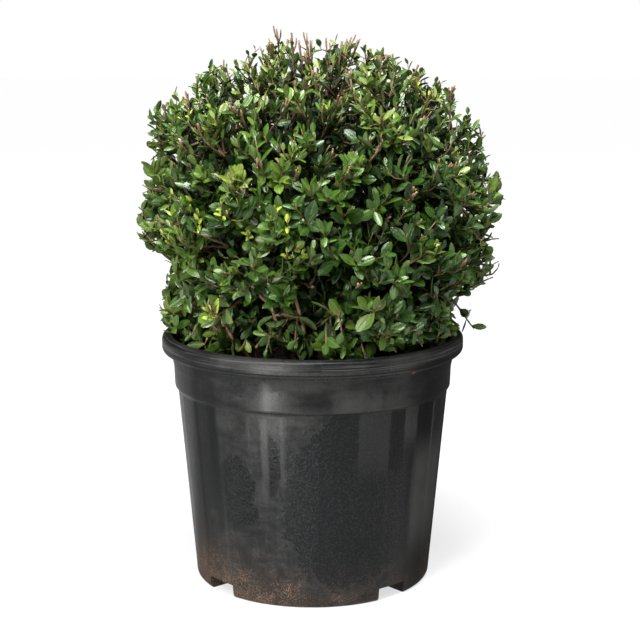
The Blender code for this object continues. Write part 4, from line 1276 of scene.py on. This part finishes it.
def makeStage():
    # a plain floor that glows to white away from the plant
    size = 30.0
    points = np.array([(-size, -size, 0), (size, -size, 0), (size, size, 0), (-size, size, 0)])
    look = Look("pale floor")
    place = look.place()
    grain = look.noise(place, 30.0, 2.0)
    far = look.step(look.vector("LENGTH", place, (0, 0, 0)), 0.5, 2.2)
    look.finish(Base_Color=look.mix(grain, (0.17, 0.17, 0.17), (0.18, 0.18, 0.18)), Roughness=0.9,
                Emission_Color=look.mix(far, (0.68, 0.68, 0.68), (0.97, 0.97, 0.97)), Emission_Strength=1.0)
    floor = makePiece("floor", points, [(np.array([[0, 1, 2, 3]]), 0)], [look.material])


def makeSky():
    # white to the camera, softer as a light
    world = bpy.data.worlds.new("studio")
    world.use_nodes = True
    bpy.context.scene.world = world
    tree = world.node_tree
    background = tree.nodes["Background"]
    rays = tree.nodes.new("ShaderNodeLightPath")
    strength = tree.nodes.new("ShaderNodeMapRange")
    tree.links.new(rays.outputs["Is Camera Ray"], strength.inputs[0])
    strength.inputs[3].default_value = studio["sky"]
    strength.inputs[4].default_value = 1.0
    tree.links.new(strength.outputs[0], background.inputs["Strength"])
    background.inputs["Color"].default_value = (1.0, 1.0, 1.0, 1.0)


def makeLamps():
    for name, azimuth, elevation, distance, aim, width, height, watts, spread in studio["lamps"]:
        data = bpy.data.lights.new(name, "AREA")
        data.shape = "RECTANGLE"
        data.size, data.size_y = width, height
        data.energy = watts
        data.spread = math.radians(spread)
        made = addObject(name, data)
        made.location = np.array([0.0, 0.0, aim]) + aimAt(azimuth, elevation) * distance
        made.rotation_euler = (math.radians(90 - elevation), 0.0, math.radians(azimuth))


def dress(pieces, node):
    for piece in pieces:
        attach(piece, "root")
        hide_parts(node)


makeStage()
makeSky()
makeLamps()
print("stage, sky and lamps done")

dress([makePot([plasticLook()])], "pot")
print("pot done")

chipLooks = [chipLook("dark bark chip", (0.01, 0.007, 0.005), (0.045, 0.027, 0.016)),
             chipLook("red bark chip", (0.03, 0.014, 0.008), (0.11, 0.055, 0.03)),
             chipLook("grey bark chip", (0.025, 0.021, 0.017), (0.085, 0.068, 0.052))]
dress([makeMix([mixLook()]), makeChips(chipLooks)], "potting_mix")
print("potting mix done")

masses = listMasses()
for piece, node in makeLimbs(masses, [barkLook()]):
    dress([piece], node)
print("stems and boughs done")

random = np.random.default_rng(twigs["seed"])
inner = np.random.default_rng(twigs["coreSeed"])
main = growMain(masses, random)
shoots = growShoots(masses, main, random)
sprigs = growSprigs(shoots, random)
deep = growDeep(masses, main, random, *twigs["deep"])
core = growDeep(masses, main, inner, *twigs["core"])
stubs, prongs = growStubs(masses, main, random)
strays, bare, canes = [growListed(masses, twigs[name]) for name in ("strays", "bareStrays", "canes")]
low = growLow(masses, random)
tone = {name: number for number, name in enumerate(leafTones)}
shootTones = dealTones(shoots, random)
# painted shade: the leaves of the shade shoots and the main twigs are near black
shade = np.full(twigs["shoots"], tone["shade"])
lowSizes = np.where(low["tip"][:, :1] < 0.03, *leaves["lowSizes"])
grownSets = [
    (growLeaves(shoots, "shoot", random), shootTones),
    (growLeaves(sprigs, "sprig", random), np.repeat(shootTones, twigs["sprigs"])),
    (growLeaves(deep, "deep", random), shade),
    (growLeaves(main, "main", random), shade),
    (growLeaves(stubs, "stub", random), dealTones(stubs, random)),
    (growLeaves(strays, "stray", random, stray=True), dealTones(strays, random)),
    (growLeaves(bare, "bare", random, stray=True), dealTones(bare, random)),
    (growLeaves(canes, "cane", random), dealTones(canes, random)),
    (growLeaves(low, "low", random, lift=-0.15, larger=lowSizes, face=4.0),
     np.maximum(tone["mid"], dealTones(low, random))),
    (growLeaves(core, "deep", inner), shade),
]
for grown, tones in grownSets:
    # painted shade: leaves deep inside the ball take the near-black shade green, those nearer the surface
    # the deep green, unless they are young
    out = grown["root"] - crownMiddle
    inside = 1 - norm(out) / surfaceReach(unit(out)) + random.normal(size=len(out)) * 0.02
    inside = inside + np.minimum(0, unit(out)[:, 2]) * 0.04
    kinds = [inside > leaves["shadeFrom"], grown["late"], inside > leaves["deepFrom"]]
    grown["tone"] = np.select(kinds, [tone["shade"], tone["young"], tone["deep"]], tones[grown["shoot"]])
# the shade leaves leave the hollows open
for grown, tones in grownSets[2:4]:
    inHollow = bells(unit(grown["root"] - crownMiddle), hollows) > leaves["hollowFrom"]
    grown.update(chosen(grown, ~inHollow))
allLeaves = {name: np.concatenate([grown[name] for grown, tones in grownSets]) for name in grownSets[0][0]}
wood = [(main, "main"), (shoots, "shoot"), (deep, "shoot"), (core, "shoot"), (stubs, "stub"),
        (prongs, "prong"), (strays, "stray"), (bare, "bare"), (canes, "cane"), (low, "low"),
        (sprigs, "sprig")]
greens = leafLooks()
twigLooks = [twigLook("older twig", (0.032, 0.018, 0.009), (0.135, 0.082, 0.042), (0.225, 0.155, 0.09)),
             twigLook("young twig", (0.066, 0.05, 0.013), (0.165, 0.112, 0.036), (0.14, 0.074, 0.028)),
             twigLook("cut end", (0.12, 0.06, 0.028), (0.27, 0.16, 0.085), (0.2, 0.088, 0.042)),
             twigLook("cane", (0.045, 0.027, 0.015), (0.175, 0.108, 0.06), (0.25, 0.17, 0.105))]
for k, mass in enumerate(masses):
    grown = chosen(allLeaves, allLeaves["owner"] == k)
    dress([makeLeaves("leaves_" + mass["name"], grown, greens, random)], "mass_" + mass["name"])
    dress([makeTwigs("twigs_" + mass["name"], k, wood, twigLooks)], "mass_" + mass["name"])
print("foliage done:", len(allLeaves["root"]), "leaves")
